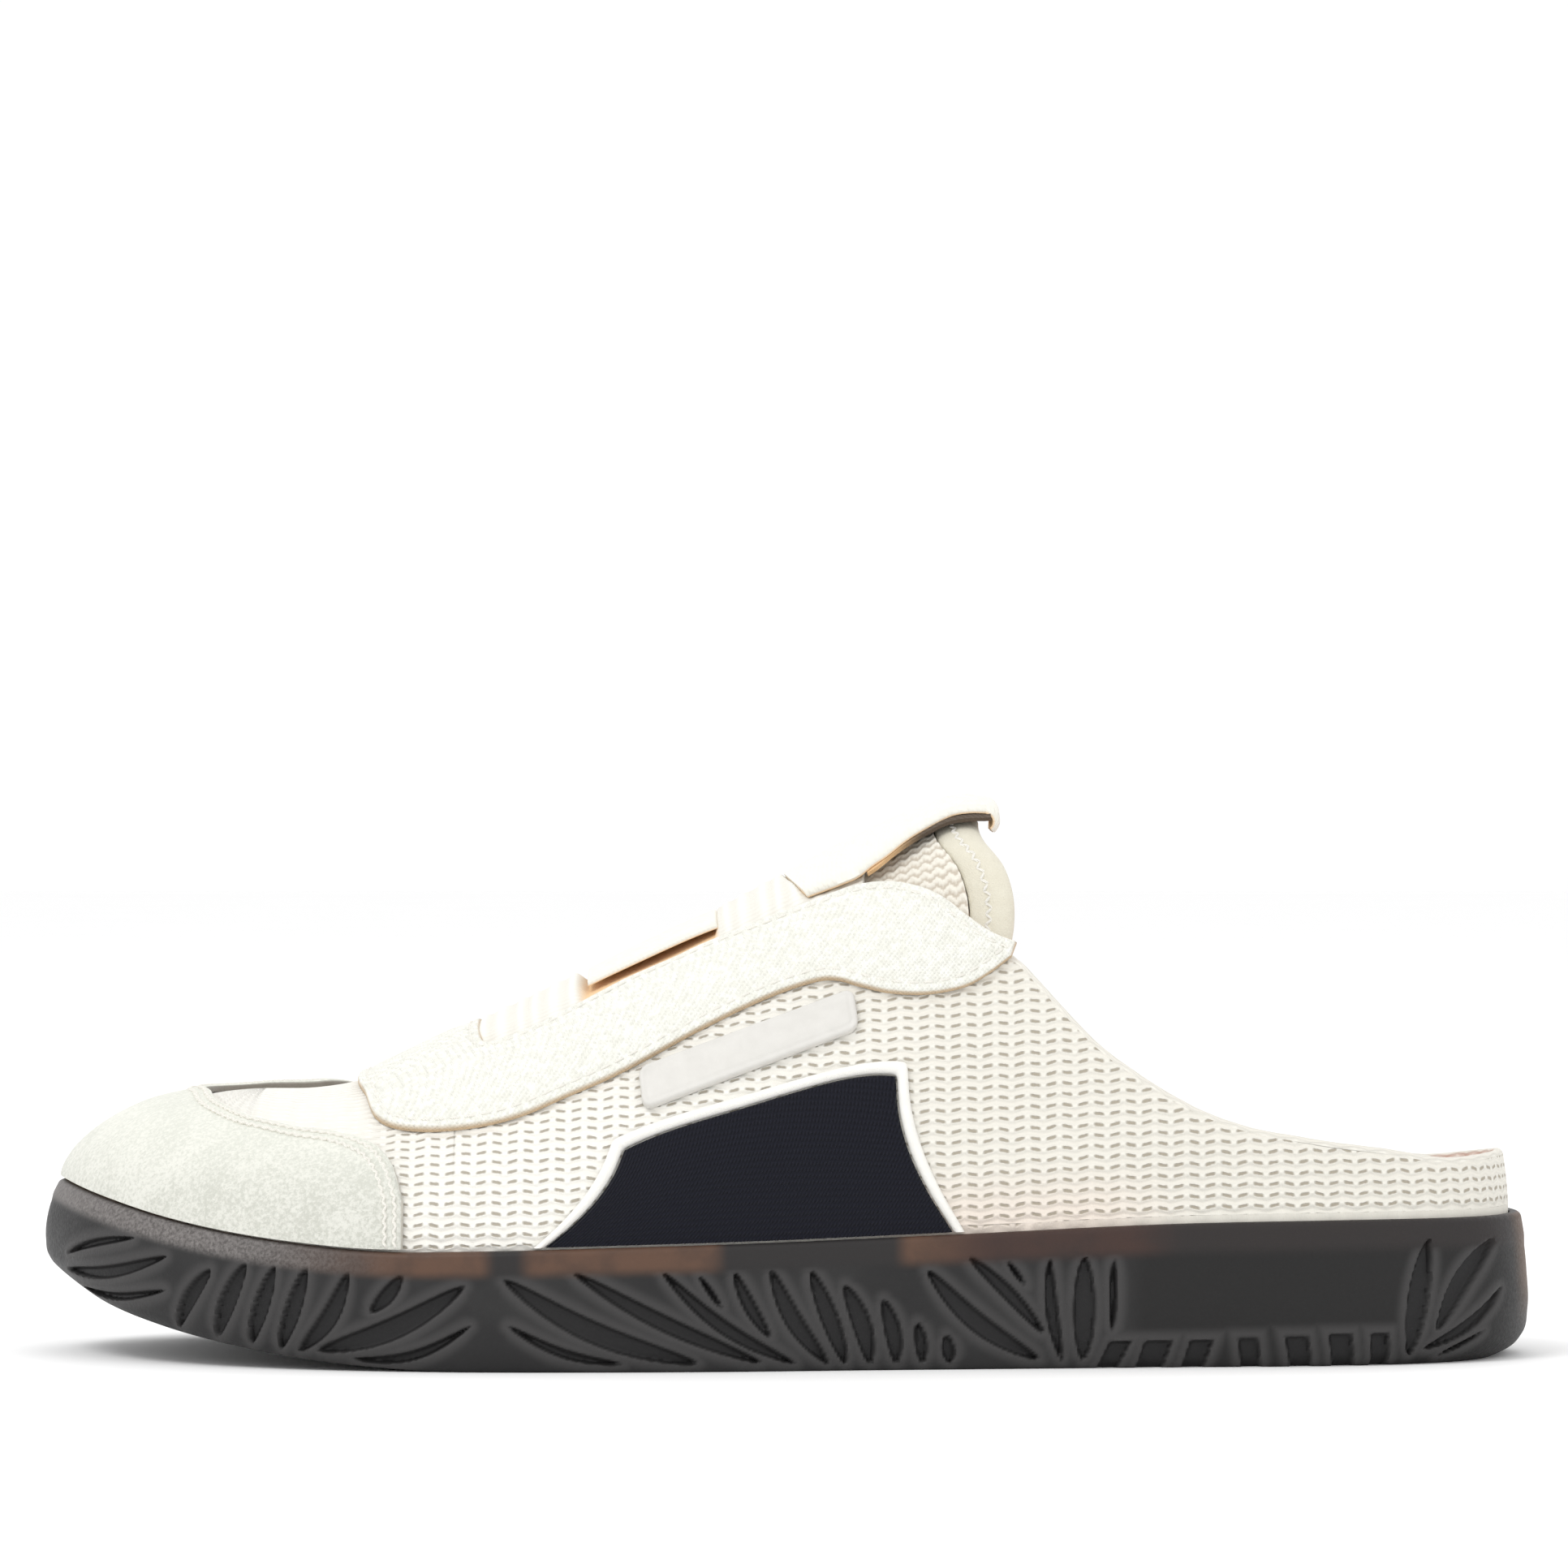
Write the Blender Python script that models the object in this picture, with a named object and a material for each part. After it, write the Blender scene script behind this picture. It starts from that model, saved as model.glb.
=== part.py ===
"""Sneaker mule, left shoe, as its maker builds it: a lasted shell on a cupsole, with overlays.

Metres, +Z up. The toe points towards -X, the outer side of the foot faces -Y, and the tread stands on z = 0.
Places along the shoe are shares of the sole's length, 0 at the toe's tip and 1 at the back of the heel.
A rise is a share of the way from the sole's rim, 0, up to the ridge of the last, 1.
"""

import math
from collections import namedtuple

import bmesh
import bpy
import numpy as np
from mathutils import Vector
from mathutils.geometry import delaunay_2d_cdt

MM = 0.001

# Sizes of the sole
SOLE_LENGTH = 285 * MM
BALL_WIDTH = 105 * MM
WAIST_WIDTH = 77 * MM
HEEL_WIDTH = 73 * MM
RIM_AT_TOE = 32.8 * MM
RIM_AT_BALL = 22 * MM
RIM_AT_HEEL = 27.2 * MM
TOE_SPRING = 16 * MM
BULGE_AT_TOE = 3.0 * MM
BULGE_AT_HEEL = 1.6 * MM
EDGE_ROUND = 2.0 * MM
HEEL_EDGE_ROUND = 6.5 * MM
RIM_LIP = 1.8 * MM
BED_DEPTH = 4.0 * MM
GROOVE_DEPTH = 1.2 * MM
GROOVE_BEVEL = 0.45 * MM

# Sizes of the last and the upper
TOE_BOX_TOP = 50.2 * MM
INSTEP_TOP = 102 * MM
UPPER_WALL = 2.0 * MM
TOE_CAP_THICK = 1.6 * MM
EYESTAY_THICK = 1.5 * MM
COLLAR_DROP = 2.5 * MM
GORE_THICK = 1.5 * MM
GORE_CROWN = 2.0 * MM
STRAP_THICK = 1.0 * MM
STRAP_LIFT = 0.6 * MM
STRAP_WIDTH = 30 * MM
LOOP_THICK = 1.4 * MM
LOOP_SLANT = 4 * MM
LOOP_LIFT = 2.4 * MM
LOOP_FOLD = 1.6 * MM
LOOP_TURN = math.radians(140)
TONGUE_THICK = 5.0 * MM
BINDING_WIDTH = 8.5 * MM
LABEL_LENGTH = 43 * MM
LABEL_HEIGHT = 7.4 * MM
LABEL_THICK = 1.5 * MM
LABEL_CORNER = 2.0 * MM
PANEL_THICK = 0.8 * MM
EDGING_THICK = 1.4 * MM
EDGING_WIDTH = 1.9 * MM
INSOLE_THICK = 3.6 * MM

# Clearances: between neighbours, and the extra room that the flat faces of two curved pieces need
GAP = 0.3 * MM
FACET_ROOM = 0.3 * MM

OUTER, INNER = -1, 1

# Width of the sole on each side of the long axis, as shares of the width named in the last column
Edge = namedtuple("Edge", "along outer inner width")
OUTLINE = (
    Edge(0.010, 0.030, 0.185, BALL_WIDTH),
    Edge(0.035, 0.160, 0.295, BALL_WIDTH),
    Edge(0.080, 0.290, 0.385, BALL_WIDTH),
    Edge(0.140, 0.392, 0.452, BALL_WIDTH),
    Edge(0.210, 0.462, 0.490, BALL_WIDTH),
    Edge(0.290, 0.496, 0.500, BALL_WIDTH),
    Edge(0.370, 0.500, 0.478, BALL_WIDTH),
    Edge(0.460, 0.486, 0.420, BALL_WIDTH),
    Edge(0.560, 0.610, 0.470, WAIST_WIDTH),
    Edge(0.660, 0.565, 0.435, WAIST_WIDTH),
    Edge(0.780, 0.548, 0.452, HEEL_WIDTH),
    Edge(0.860, 0.520, 0.465, HEEL_WIDTH),
    Edge(0.930, 0.440, 0.405, HEEL_WIDTH),
    Edge(0.970, 0.335, 0.300, HEEL_WIDTH),
    Edge(0.992, 0.190, 0.155, HEEL_WIDTH),
)
TOE_TIP_SIDE = 0.075
HEEL_BACK_SIDE = -0.02

# Heights of rim and tread, bulge of the wall and round of its lower edge, each between its two named sizes
Section = namedtuple("Section", "along toe_rim heel_rim spring bulge round")
SOLE = (
    Section(0.000, 1.00, 0.00, 1.00, 1.00, 0.25),
    Section(0.040, 0.75, 0.00, 0.68, 0.80, 0.15),
    Section(0.085, 0.48, 0.00, 0.45, 0.55, 0.05),
    Section(0.130, 0.27, 0.00, 0.28, 0.35, 0.00),
    Section(0.185, 0.10, 0.00, 0.13, 0.20, 0.00),
    Section(0.240, 0.00, 0.00, 0.04, 0.15, 0.00),
    Section(0.290, 0.00, 0.03, 0.00, 0.10, 0.00),
    Section(0.400, 0.00, 0.18, 0.00, 0.10, 0.00),
    Section(0.500, 0.00, 0.33, 0.00, 0.10, 0.00),
    Section(0.620, 0.00, 0.58, 0.00, 0.05, 0.00),
    Section(0.750, 0.00, 0.88, 0.00, 0.00, 0.05),
    Section(0.850, 0.00, 0.98, 0.00, 0.00, 0.15),
    Section(0.930, 0.00, 1.00, 0.00, 0.00, 0.45),
    Section(1.000, 0.00, 1.00, 0.00, 0.00, 1.00),
)

# How far the wall stands in from the sole's outline, from the tread up to the rim
Wall = namedtuple("Wall", "height bulge round")
WALL = (
    Wall(0.00, 0.00, 1.00),
    Wall(0.05, 0.00, 0.55),
    Wall(0.14, 0.00, 0.18),
    Wall(0.32, 0.00, 0.00),
    Wall(0.58, 0.10, 0.00),
    Wall(0.82, 0.50, 0.00),
    Wall(1.00, 1.00, 0.00),
)

# Leaf-shaped grooves of the sole's side: both ends as along and height, width and sideways bow in metres
Groove = namedtuple("Groove", "top_along top_height foot_along foot_height width bow")
GROOVES = (
    Groove(0.068, 0.76, 0.020, 0.34, 1.7 * MM, 0.7 * MM),
    Groove(0.092, 0.68, 0.019, 0.17, 2.6 * MM, -1.4 * MM),
    Groove(0.093, 0.37, 0.028, 0.06, 1.7 * MM, -1.2 * MM),
    Groove(0.123, 0.66, 0.100, 0.06, 3.1 * MM, 0.5 * MM),
    Groove(0.146, 0.77, 0.127, 0.06, 3.6 * MM, 0.2 * MM),
    Groove(0.166, 0.79, 0.150, 0.06, 3.3 * MM, -0.1 * MM),
    Groove(0.187, 0.81, 0.170, 0.06, 3.3 * MM, -0.3 * MM),
    Groove(0.215, 0.81, 0.183, 0.07, 3.5 * MM, -1.6 * MM),
    Groove(0.251, 0.81, 0.231, 0.48, 3.0 * MM, -0.3 * MM),
    Groove(0.292, 0.72, 0.196, 0.10, 4.3 * MM, -1.6 * MM),
    Groove(0.296, 0.39, 0.218, 0.06, 2.1 * MM, -2.2 * MM),
    Groove(0.318, 0.77, 0.444, 0.07, 4.3 * MM, 2.3 * MM),
    Groove(0.321, 0.39, 0.396, 0.07, 2.0 * MM, 1.6 * MM),
    Groove(0.363, 0.82, 0.486, 0.07, 3.2 * MM, 1.2 * MM),
    Groove(0.421, 0.81, 0.508, 0.06, 2.8 * MM, 2.0 * MM),
    Groove(0.445, 0.77, 0.460, 0.50, 1.3 * MM, 0.0 * MM),
    Groove(0.468, 0.79, 0.491, 0.27, 2.6 * MM, 0.5 * MM),
    Groove(0.492, 0.80, 0.529, 0.06, 3.5 * MM, 1.3 * MM),
    Groove(0.518, 0.78, 0.541, 0.05, 3.5 * MM, -0.1 * MM),
    Groove(0.540, 0.66, 0.557, 0.05, 3.7 * MM, -0.7 * MM),
    Groove(0.565, 0.54, 0.574, 0.05, 3.2 * MM, -0.5 * MM),
    Groove(0.587, 0.36, 0.591, 0.05, 2.5 * MM, -0.2 * MM),
    Groove(0.606, 0.26, 0.609, 0.05, 2.6 * MM, 0.0 * MM),
    Groove(0.594, 0.75, 0.667, 0.07, 3.8 * MM, 1.8 * MM),
    Groove(0.621, 0.84, 0.670, 0.26, 2.7 * MM, -0.5 * MM),
    Groove(0.646, 0.80, 0.658, 0.61, 1.2 * MM, 0.0 * MM),
    Groove(0.674, 0.80, 0.682, 0.06, 2.5 * MM, 0.8 * MM),
    Groove(0.697, 0.80, 0.696, 0.06, 4.3 * MM, 0.0 * MM),
    Groove(0.716, 0.79, 0.715, 0.26, 1.6 * MM, 0.0 * MM),
    Groove(0.926, 0.86, 0.913, 0.07, 4.5 * MM, 0.5 * MM),
    Groove(0.973, 0.85, 0.931, 0.24, 4.5 * MM, 1.8 * MM),
    Groove(0.976, 0.51, 0.923, 0.11, 2.6 * MM, -1.2 * MM),
    Groove(0.964, 0.22, 0.934, 0.06, 1.2 * MM, -0.2 * MM),
)

# Notches under the plain field of the sole's side: both sides along, lower and upper end, lean of the foot
Notch = namedtuple("Notch", "front back foot top lean")
NOTCHES = (
    Notch(0.713, 0.728, 0.06, 0.20, -0.006),
    Notch(0.736, 0.755, 0.06, 0.20, -0.004),
    Notch(0.766, 0.782, 0.06, 0.20, -0.004),
    Notch(0.797, 0.811, 0.06, 0.21, 0.002),
    Notch(0.828, 0.844, 0.06, 0.22, 0.003),
    Notch(0.857, 0.873, 0.06, 0.23, 0.003),
    Notch(0.885, 0.898, 0.06, 0.23, 0.002),
)

# Ridge of the last: its height between toe box and instep, and its side place as a share of the ball width
Ridge = namedtuple("Ridge", "along height side")
RIDGE = (
    Ridge(0.149, 0.000, 0.080),
    Ridge(0.184, 0.004, 0.078),
    Ridge(0.209, 0.026, 0.075),
    Ridge(0.237, 0.080, 0.072),
    Ridge(0.261, 0.143, 0.070),
    Ridge(0.294, 0.228, 0.065),
    Ridge(0.328, 0.315, 0.060),
    Ridge(0.370, 0.425, 0.055),
    Ridge(0.416, 0.538, 0.050),
    Ridge(0.458, 0.652, 0.045),
    Ridge(0.502, 0.780, 0.040),
    Ridge(0.546, 0.897, 0.035),
    Ridge(0.590, 1.000, 0.030),
    Ridge(0.640, 1.045, 0.022),
    Ridge(0.763, 1.060, 0.000),
)
RIDGE_FRONT = RIDGE[0].along
RIDGE_BACK = RIDGE[-1].along

# Exponents of the last's round: how full its sections are across, and how upright
Full = namedtuple("Full", "along across upright side_round")
FULLNESS = (
    Full(0.00, 1.85, 1.60, 0.2 * MM),
    Full(0.15, 2.15, 1.70, 0.9 * MM),
    Full(0.30, 2.10, 1.75, 1.4 * MM),
    Full(0.45, 1.95, 1.70, 1.4 * MM),
    Full(0.70, 1.90, 1.70, 1.0 * MM),
    Full(1.00, 2.00, 1.70, 0.6 * MM),
)

Line = namedtuple("Line", "along rise")
# Top edge of the shell: the throat's side, then the collar down to the back of the heel
TOPLINE = (
    Line(0.286, 0.944),
    Line(0.290, 0.864),
    Line(0.304, 0.799),
    Line(0.342, 0.799),
    Line(0.372, 0.804),
    Line(0.401, 0.819),
    Line(0.431, 0.846),
    Line(0.461, 0.846),
    Line(0.490, 0.839),
    Line(0.520, 0.826),
    Line(0.565, 0.822),
    Line(0.585, 0.789),
    Line(0.603, 0.754),
    Line(0.622, 0.696),
    Line(0.636, 0.656),
    Line(0.653, 0.629),
    Line(0.667, 0.574),
    Line(0.684, 0.504),
    Line(0.706, 0.421),
    Line(0.727, 0.362),
    Line(0.749, 0.308),
    Line(0.770, 0.265),
    Line(0.792, 0.232),
    Line(0.814, 0.208),
    Line(0.835, 0.194),
    Line(0.856, 0.180),
    Line(0.899, 0.158),
    Line(0.942, 0.133),
    Line(0.975, 0.139),
    Line(0.990, 0.143),
)
THROAT_FRONT = 0.284

# Edge of the toe cap on the outer side, from the rim to the front of its opening, and on the inner side
CAP_OUTER = (
    Line(0.000, 0.935),
    Line(0.050, 0.925),
    Line(0.100, 0.860),
    Line(0.149, 0.785),
    Line(0.182, 0.730),
    Line(0.207, 0.690),
    Line(0.225, 0.625),
    Line(0.238, 0.540),
    Line(0.247, 0.415),
    Line(0.252, 0.265),
)
CAP_INNER = (
    Line(0.000, 0.935),
    Line(0.050, 0.945),
    Line(0.100, 0.960),
    Line(0.149, 0.975),
    Line(0.177, 0.980),
    Line(0.195, 0.970),
    Line(0.207, 0.925),
    Line(0.216, 0.850),
    Line(0.227, 0.710),
    Line(0.237, 0.560),
    Line(0.244, 0.420),
    Line(0.248, 0.300),
)

# The eyestay's outer edge, from the middle of the vamp to its rear tip, and its inner edge around the throat
EYESTAY_OUTER = (
    Line(0.2144, 1.000),
    Line(0.2149, 0.970),
    Line(0.2221, 0.890),
    Line(0.2299, 0.758),
    Line(0.2445, 0.663),
    Line(0.2680, 0.593),
    Line(0.2982, 0.554),
    Line(0.3274, 0.550),
    Line(0.3567, 0.575),
    Line(0.3864, 0.600),
    Line(0.4317, 0.654),
    Line(0.4610, 0.678),
    Line(0.4902, 0.689),
    Line(0.5195, 0.687),
    Line(0.5346, 0.672),
    Line(0.5497, 0.638),
    Line(0.5702, 0.598),
    Line(0.5936, 0.575),
    Line(0.6180, 0.580),
    Line(0.6355, 0.608),
    Line(0.6502, 0.642),
)
EYESTAY_INNER = (
    Line(0.2971, 1.000),
    Line(0.2981, 0.965),
    Line(0.3020, 0.905),
    Line(0.3128, 0.880),
    Line(0.3373, 0.879),
    Line(0.3587, 0.888),
    Line(0.3800, 0.902),
    Line(0.3961, 0.912),
    Line(0.4124, 0.915),
    Line(0.4287, 0.915),
    Line(0.4461, 0.917),
    Line(0.4667, 0.912),
    Line(0.4882, 0.904),
    Line(0.5096, 0.898),
    Line(0.5311, 0.893),
    Line(0.5472, 0.889),
    Line(0.5650, 0.873),
    Line(0.5857, 0.840),
    Line(0.6034, 0.802),
    Line(0.6216, 0.745),
    Line(0.6369, 0.703),
    Line(0.6537, 0.673),
)

# Rear edge of the tongue, by its angle around the section from the outer side, and the tongue's front end
TongueEdge = namedtuple("TongueEdge", "angle along")
TONGUE_EDGE = (
    TongueEdge(34, 0.630),
    TongueEdge(41, 0.642),
    TongueEdge(48, 0.651),
    TongueEdge(55, 0.653),
    TongueEdge(62, 0.648),
    TongueEdge(72, 0.634),
    TongueEdge(90, 0.630),
    TongueEdge(108, 0.634),
    TongueEdge(118, 0.648),
    TongueEdge(125, 0.653),
    TongueEdge(132, 0.651),
    TongueEdge(139, 0.642),
    TongueEdge(146, 0.630),
)
TONGUE_FRONT = 0.345
TONGUE_RISE_FROM = 0.560
TONGUE_RISE_TO = 0.640

GORE_BACK = 0.552
STRAP_FRONT = 0.368
STRAP_BACK = 0.452

# The pull loop over the tongue: how far it stands off the last, as a share of LOOP_LIFT, and its width
Rise = namedtuple("Rise", "along lift width")
LOOP = (
    Rise(0.502, 0.00, 33.0 * MM),
    Rise(0.528, 0.15, 34.0 * MM),
    Rise(0.541, 0.22, 33.5 * MM),
    Rise(0.550, 0.24, 31.0 * MM),
    Rise(0.562, 0.26, 28.5 * MM),
    Rise(0.575, 0.30, 24.5 * MM),
    Rise(0.596, 0.45, 19.5 * MM),
    Rise(0.612, 0.80, 17.5 * MM),
    Rise(0.626, 0.75, 16.5 * MM),
    Rise(0.635, 0.45, 15.0 * MM),
)

LABEL_ALONG = 0.477
LABEL_RISE = 0.560
LABEL_TILT = math.radians(20.5)

# The saddle panel: its front and rear edge at each rise
Saddle = namedtuple("Saddle", "rise front back")
SADDLE = (
    Saddle(0.000, 0.345, 0.610),
    Saddle(0.100, 0.363, 0.594),
    Saddle(0.200, 0.378, 0.582),
    Saddle(0.300, 0.389, 0.575),
    Saddle(0.400, 0.396, 0.573),
)
SADDLE_TOP_SLOPE = 0.055
SADDLE_TOP_ROUND = 0.035

COLOURS = {
    "outsole": ((0.055, 0.050, 0.049), 0.38, 0.0),
    "insole": ((0.780, 0.300, 0.200), 0.90, 0.0),
    "upper": ((0.870, 0.850, 0.760), 0.95, 0.0),
    "toe_cap": ((0.780, 0.790, 0.730), 0.95, 0.0),
    "eyestay": ((0.900, 0.880, 0.790), 0.85, 0.0),
    "throat_gore": ((0.900, 0.880, 0.800), 0.90, 0.0),
    "instep_strap": ((0.900, 0.880, 0.790), 0.85, 0.0),
    "tongue": ((0.860, 0.830, 0.740), 0.95, 0.0),
    "tongue_binding": ((0.850, 0.800, 0.660), 0.80, 0.0),
    "pull_loop": ((0.900, 0.870, 0.760), 0.85, 0.0),
    "side_label": ((0.780, 0.750, 0.720), 0.50, 0.0),
    "side_panel": ((0.012, 0.013, 0.020), 0.90, 0.0),
    "side_panel_edging": ((0.900, 0.890, 0.850), 0.80, 0.0),
}


def x_at(along):
    return (along - 0.5) * SOLE_LENGTH


def along_at(x):
    return x / SOLE_LENGTH + 0.5


def curve(rows, column, key="along"):
    """A smooth curve through one column of a table, as a function of the key column."""
    keys = np.array([getattr(row, key) for row in rows], dtype=float)
    values = np.array([getattr(row, column) for row in rows], dtype=float)
    slopes = np.gradient(values, keys)

    def read(at):
        at = min(max(at, keys[0]), keys[-1])
        i = min(int(np.searchsorted(keys, at, side="right")) - 1, len(keys) - 2)
        span = keys[i + 1] - keys[i]
        t = (at - keys[i]) / span
        return float(
            values[i] * (2 * t**3 - 3 * t**2 + 1)
            + values[i + 1] * (3 * t**2 - 2 * t**3)
            + span * slopes[i] * (t**3 - 2 * t**2 + t)
            + span * slopes[i + 1] * (t**3 - t**2)
        )

    return read


def between(low, high, share):
    return low + (high - low) * share


toe_rim, heel_rim = curve(SOLE, "toe_rim"), curve(SOLE, "heel_rim")
spring, bulge_share, round_share = curve(SOLE, "spring"), curve(SOLE, "bulge"), curve(SOLE, "round")
ridge_share, ridge_side = curve(RIDGE, "height"), curve(RIDGE, "side")
across, upright = curve(FULLNESS, "across"), curve(FULLNESS, "upright")
side_round = curve(FULLNESS, "side_round")
wall_bulge, wall_round = curve(WALL, "bulge", "height"), curve(WALL, "round", "height")


def rim_height(along):
    at_toe = (RIM_AT_TOE - RIM_AT_BALL) * toe_rim(along)
    at_heel = (RIM_AT_HEEL - RIM_AT_BALL) * heel_rim(along)
    return RIM_AT_BALL + at_toe + at_heel


def tread_height(along):
    return TOE_SPRING * max(spring(along), 0.0)


def bulge(along):
    return between(BULGE_AT_HEEL, BULGE_AT_TOE, bulge_share(along))


def edge_round(along):
    return between(EDGE_ROUND, HEEL_EDGE_ROUND, round_share(along))


def ridge_height(along):
    return between(TOE_BOX_TOP, INSTEP_TOP, ridge_share(along))


class Outline:
    """A closed loop around the sole, read by its share of the way round from the heel, outer side first."""

    def __init__(self, points):
        self.points = points
        count = len(points)
        self.shares = np.arange(count + 1) / count
        self.closed = np.vstack([points, points[:1]])
        self.tip = int(np.argmin(points[:, 0]))
        self.back = int(np.argmax(points[:, 0]))

    def at(self, share):
        share = share % 1.0
        x = np.interp(share, self.shares, self.closed[:, 0])
        y = np.interp(share, self.shares, self.closed[:, 1])
        return np.array([x, y])

    def share_of(self, side, x):
        """The share where one side of the loop passes a place along the shoe."""
        count = len(self.points)
        back = self.back if self.back < count / 2 else self.back - count
        if side == OUTER:
            order = np.arange(self.tip, back - 1, -1)
        else:
            order = np.arange(self.tip, back + count + 1)
        xs = np.maximum.accumulate(self.points[order % count, 0])
        return float(np.interp(x, xs, order / count)) % 1.0


OUTLINE_SAMPLES = 720
OUTLINE_SMOOTHING = 7
KNOT_STEPS = 40
RUN_SAMPLES = 3


def sole_outline():
    """The sole's outline: a smooth loop through the table's points, sampled evenly."""
    outer = [(x_at(row.along), -row.outer * row.width) for row in OUTLINE]
    inner = [(x_at(row.along), row.inner * row.width) for row in OUTLINE]
    tip = (x_at(0), TOE_TIP_SIDE * BALL_WIDTH)
    back = (x_at(1), HEEL_BACK_SIDE * HEEL_WIDTH)
    knots = np.array([back, *reversed(outer), tip, *inner])
    ahead, behind = np.roll(knots, -1, axis=0), np.roll(knots, 1, axis=0)
    spans = np.linalg.norm(ahead - knots, axis=1)
    slopes = (ahead - behind) / (spans + np.roll(spans, 1))[:, None]
    steps = np.linspace(0, 1, KNOT_STEPS, endpoint=False)[:, None]
    pieces = []
    for i, knot in enumerate(knots):
        following, span = ahead[i], spans[i]
        slope, next_slope = slopes[i], slopes[(i + 1) % len(knots)]
        pieces.append(
            knot * (2 * steps**3 - 3 * steps**2 + 1)
            + following * (3 * steps**2 - 2 * steps**3)
            + span * slope * (steps**3 - 2 * steps**2 + steps)
            + span * next_slope * (steps**3 - steps**2)
        )
    loop = np.vstack(pieces)
    closed = np.vstack([loop, loop[:1]])
    lengths = np.concatenate([[0], np.cumsum(np.linalg.norm(np.diff(closed, axis=0), axis=1))])
    even = np.linspace(0, lengths[-1], OUTLINE_SAMPLES, endpoint=False)
    points = np.column_stack([np.interp(even, lengths, closed[:, axis]) for axis in (0, 1)])
    for _ in range(OUTLINE_SMOOTHING):
        points = (np.roll(points, 1, axis=0) + 2 * points + np.roll(points, -1, axis=0)) / 4
    size = np.array([SOLE_LENGTH, BALL_WIDTH])
    low, high = points.min(axis=0), points.max(axis=0)
    return Outline((points - (low + high) / 2) * size / (high - low))


def inset(outline, distance):
    """The loop that runs inside an outline at a distance, which may change along the shoe."""
    ahead = np.roll(outline.points, -RUN_SAMPLES, axis=0)
    behind = np.roll(outline.points, RUN_SAMPLES, axis=0)
    run = ahead - behind
    run /= np.linalg.norm(run, axis=1)[:, None]
    inward = np.column_stack([run[:, 1], -run[:, 0]])
    amounts = np.array([distance(along_at(x)) for x in outline.points[:, 0]])
    return Outline(outline.points + inward * amounts[:, None])


SOLE_LOOP = sole_outline()
RIM_LOOP = inset(SOLE_LOOP, bulge)
BED_LOOP = inset(SOLE_LOOP, lambda along: bulge(along) + RIM_LIP)
FEATHER_LOOP = inset(SOLE_LOOP, lambda along: bulge(along) + RIM_LIP + GAP)
INSOLE_LOOP = inset(SOLE_LOOP, lambda along: bulge(along) + RIM_LIP + 2 * GAP + UPPER_WALL)


def sole_along(share):
    """Where the sole's own outline is along the shoe, which sets heights for every loop inside it."""
    return along_at(SOLE_LOOP.at(share)[0])


def rise_angle(along, rise):
    """The angle around the section, 0 at the rim and 90 degrees on the ridge, of a rise."""
    return math.asin(min(max(rise, 0.0), 1.0) ** (upright(along) / 2))


def last_point(share, angle):
    """A point of the last's surface over one share of the feather line."""
    angle = max(angle, 0.0)
    foot = FEATHER_LOOP.at(share)
    along = along_at(foot[0])
    ridge_along = min(max(along, RIDGE_FRONT), RIDGE_BACK)
    ridge = np.array([x_at(ridge_along), ridge_side(ridge_along) * BALL_WIDTH])
    low, high = rim_height(sole_along(share)), ridge_height(ridge_along)
    rise = math.sin(angle) ** (2 / upright(along))
    reach = max(math.cos(angle), 0.0) ** (2 / across(along))
    span = foot - ridge
    out = side_round(along) * math.sin(2 * angle) * math.cos(angle)
    flat = ridge + span * reach + span / max(np.linalg.norm(span), MM) * out
    return np.array([flat[0], flat[1], low + (high - low) * rise])


def side_share(side, along):
    return FEATHER_LOOP.share_of(side, x_at(along))


def section_point(along, turn):
    """A point of the last by its place along and its angle around, from the outer rim to the inner."""
    side = OUTER if turn <= math.pi / 2 else INNER
    return last_point(side_share(side, along), min(turn, math.pi - turn))


def lifted(surface, first, second, steps, out):
    """A point at a distance off a surface, along its outward normal."""
    point = surface(first, second)
    if out == 0:
        return point
    one = surface(first + steps[0], second) - surface(first - steps[0], second)
    two = surface(first, second + steps[1]) - surface(first, second - steps[1])
    normal = np.cross(one, two)
    normal /= np.linalg.norm(normal)
    core = np.array([point[0], 0.0, RIM_AT_BALL])
    if abs(point[0]) > x_at(RIDGE_BACK):
        core[0] = math.copysign(x_at(RIDGE_BACK), point[0])
    if np.dot(normal, point - core) < 0:
        normal = -normal
    return point + normal * out


SHARE_STEP = 0.004
ALONG_STEP = 0.004
TURN_STEP = math.radians(2)


def off_last(share, angle, out):
    angle = max(angle, TURN_STEP)
    return lifted(last_point, share, angle, (SHARE_STEP, TURN_STEP / 2), out)


def off_section(along, turn, out):
    return lifted(section_point, along, turn, (ALONG_STEP, TURN_STEP), out)


def material(name):
    colour, rough, metal = COLOURS[name]
    made = bpy.data.materials.get(name) or bpy.data.materials.new(name)
    made.use_nodes = True
    shader = made.node_tree.nodes["Principled BSDF"]
    shader.inputs["Base Color"].default_value = (*colour, 1.0)
    shader.inputs["Roughness"].default_value = rough
    shader.inputs["Metallic"].default_value = metal
    return made


WELD = 0.001 * MM
SHARP_ANGLE = math.radians(38)


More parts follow.
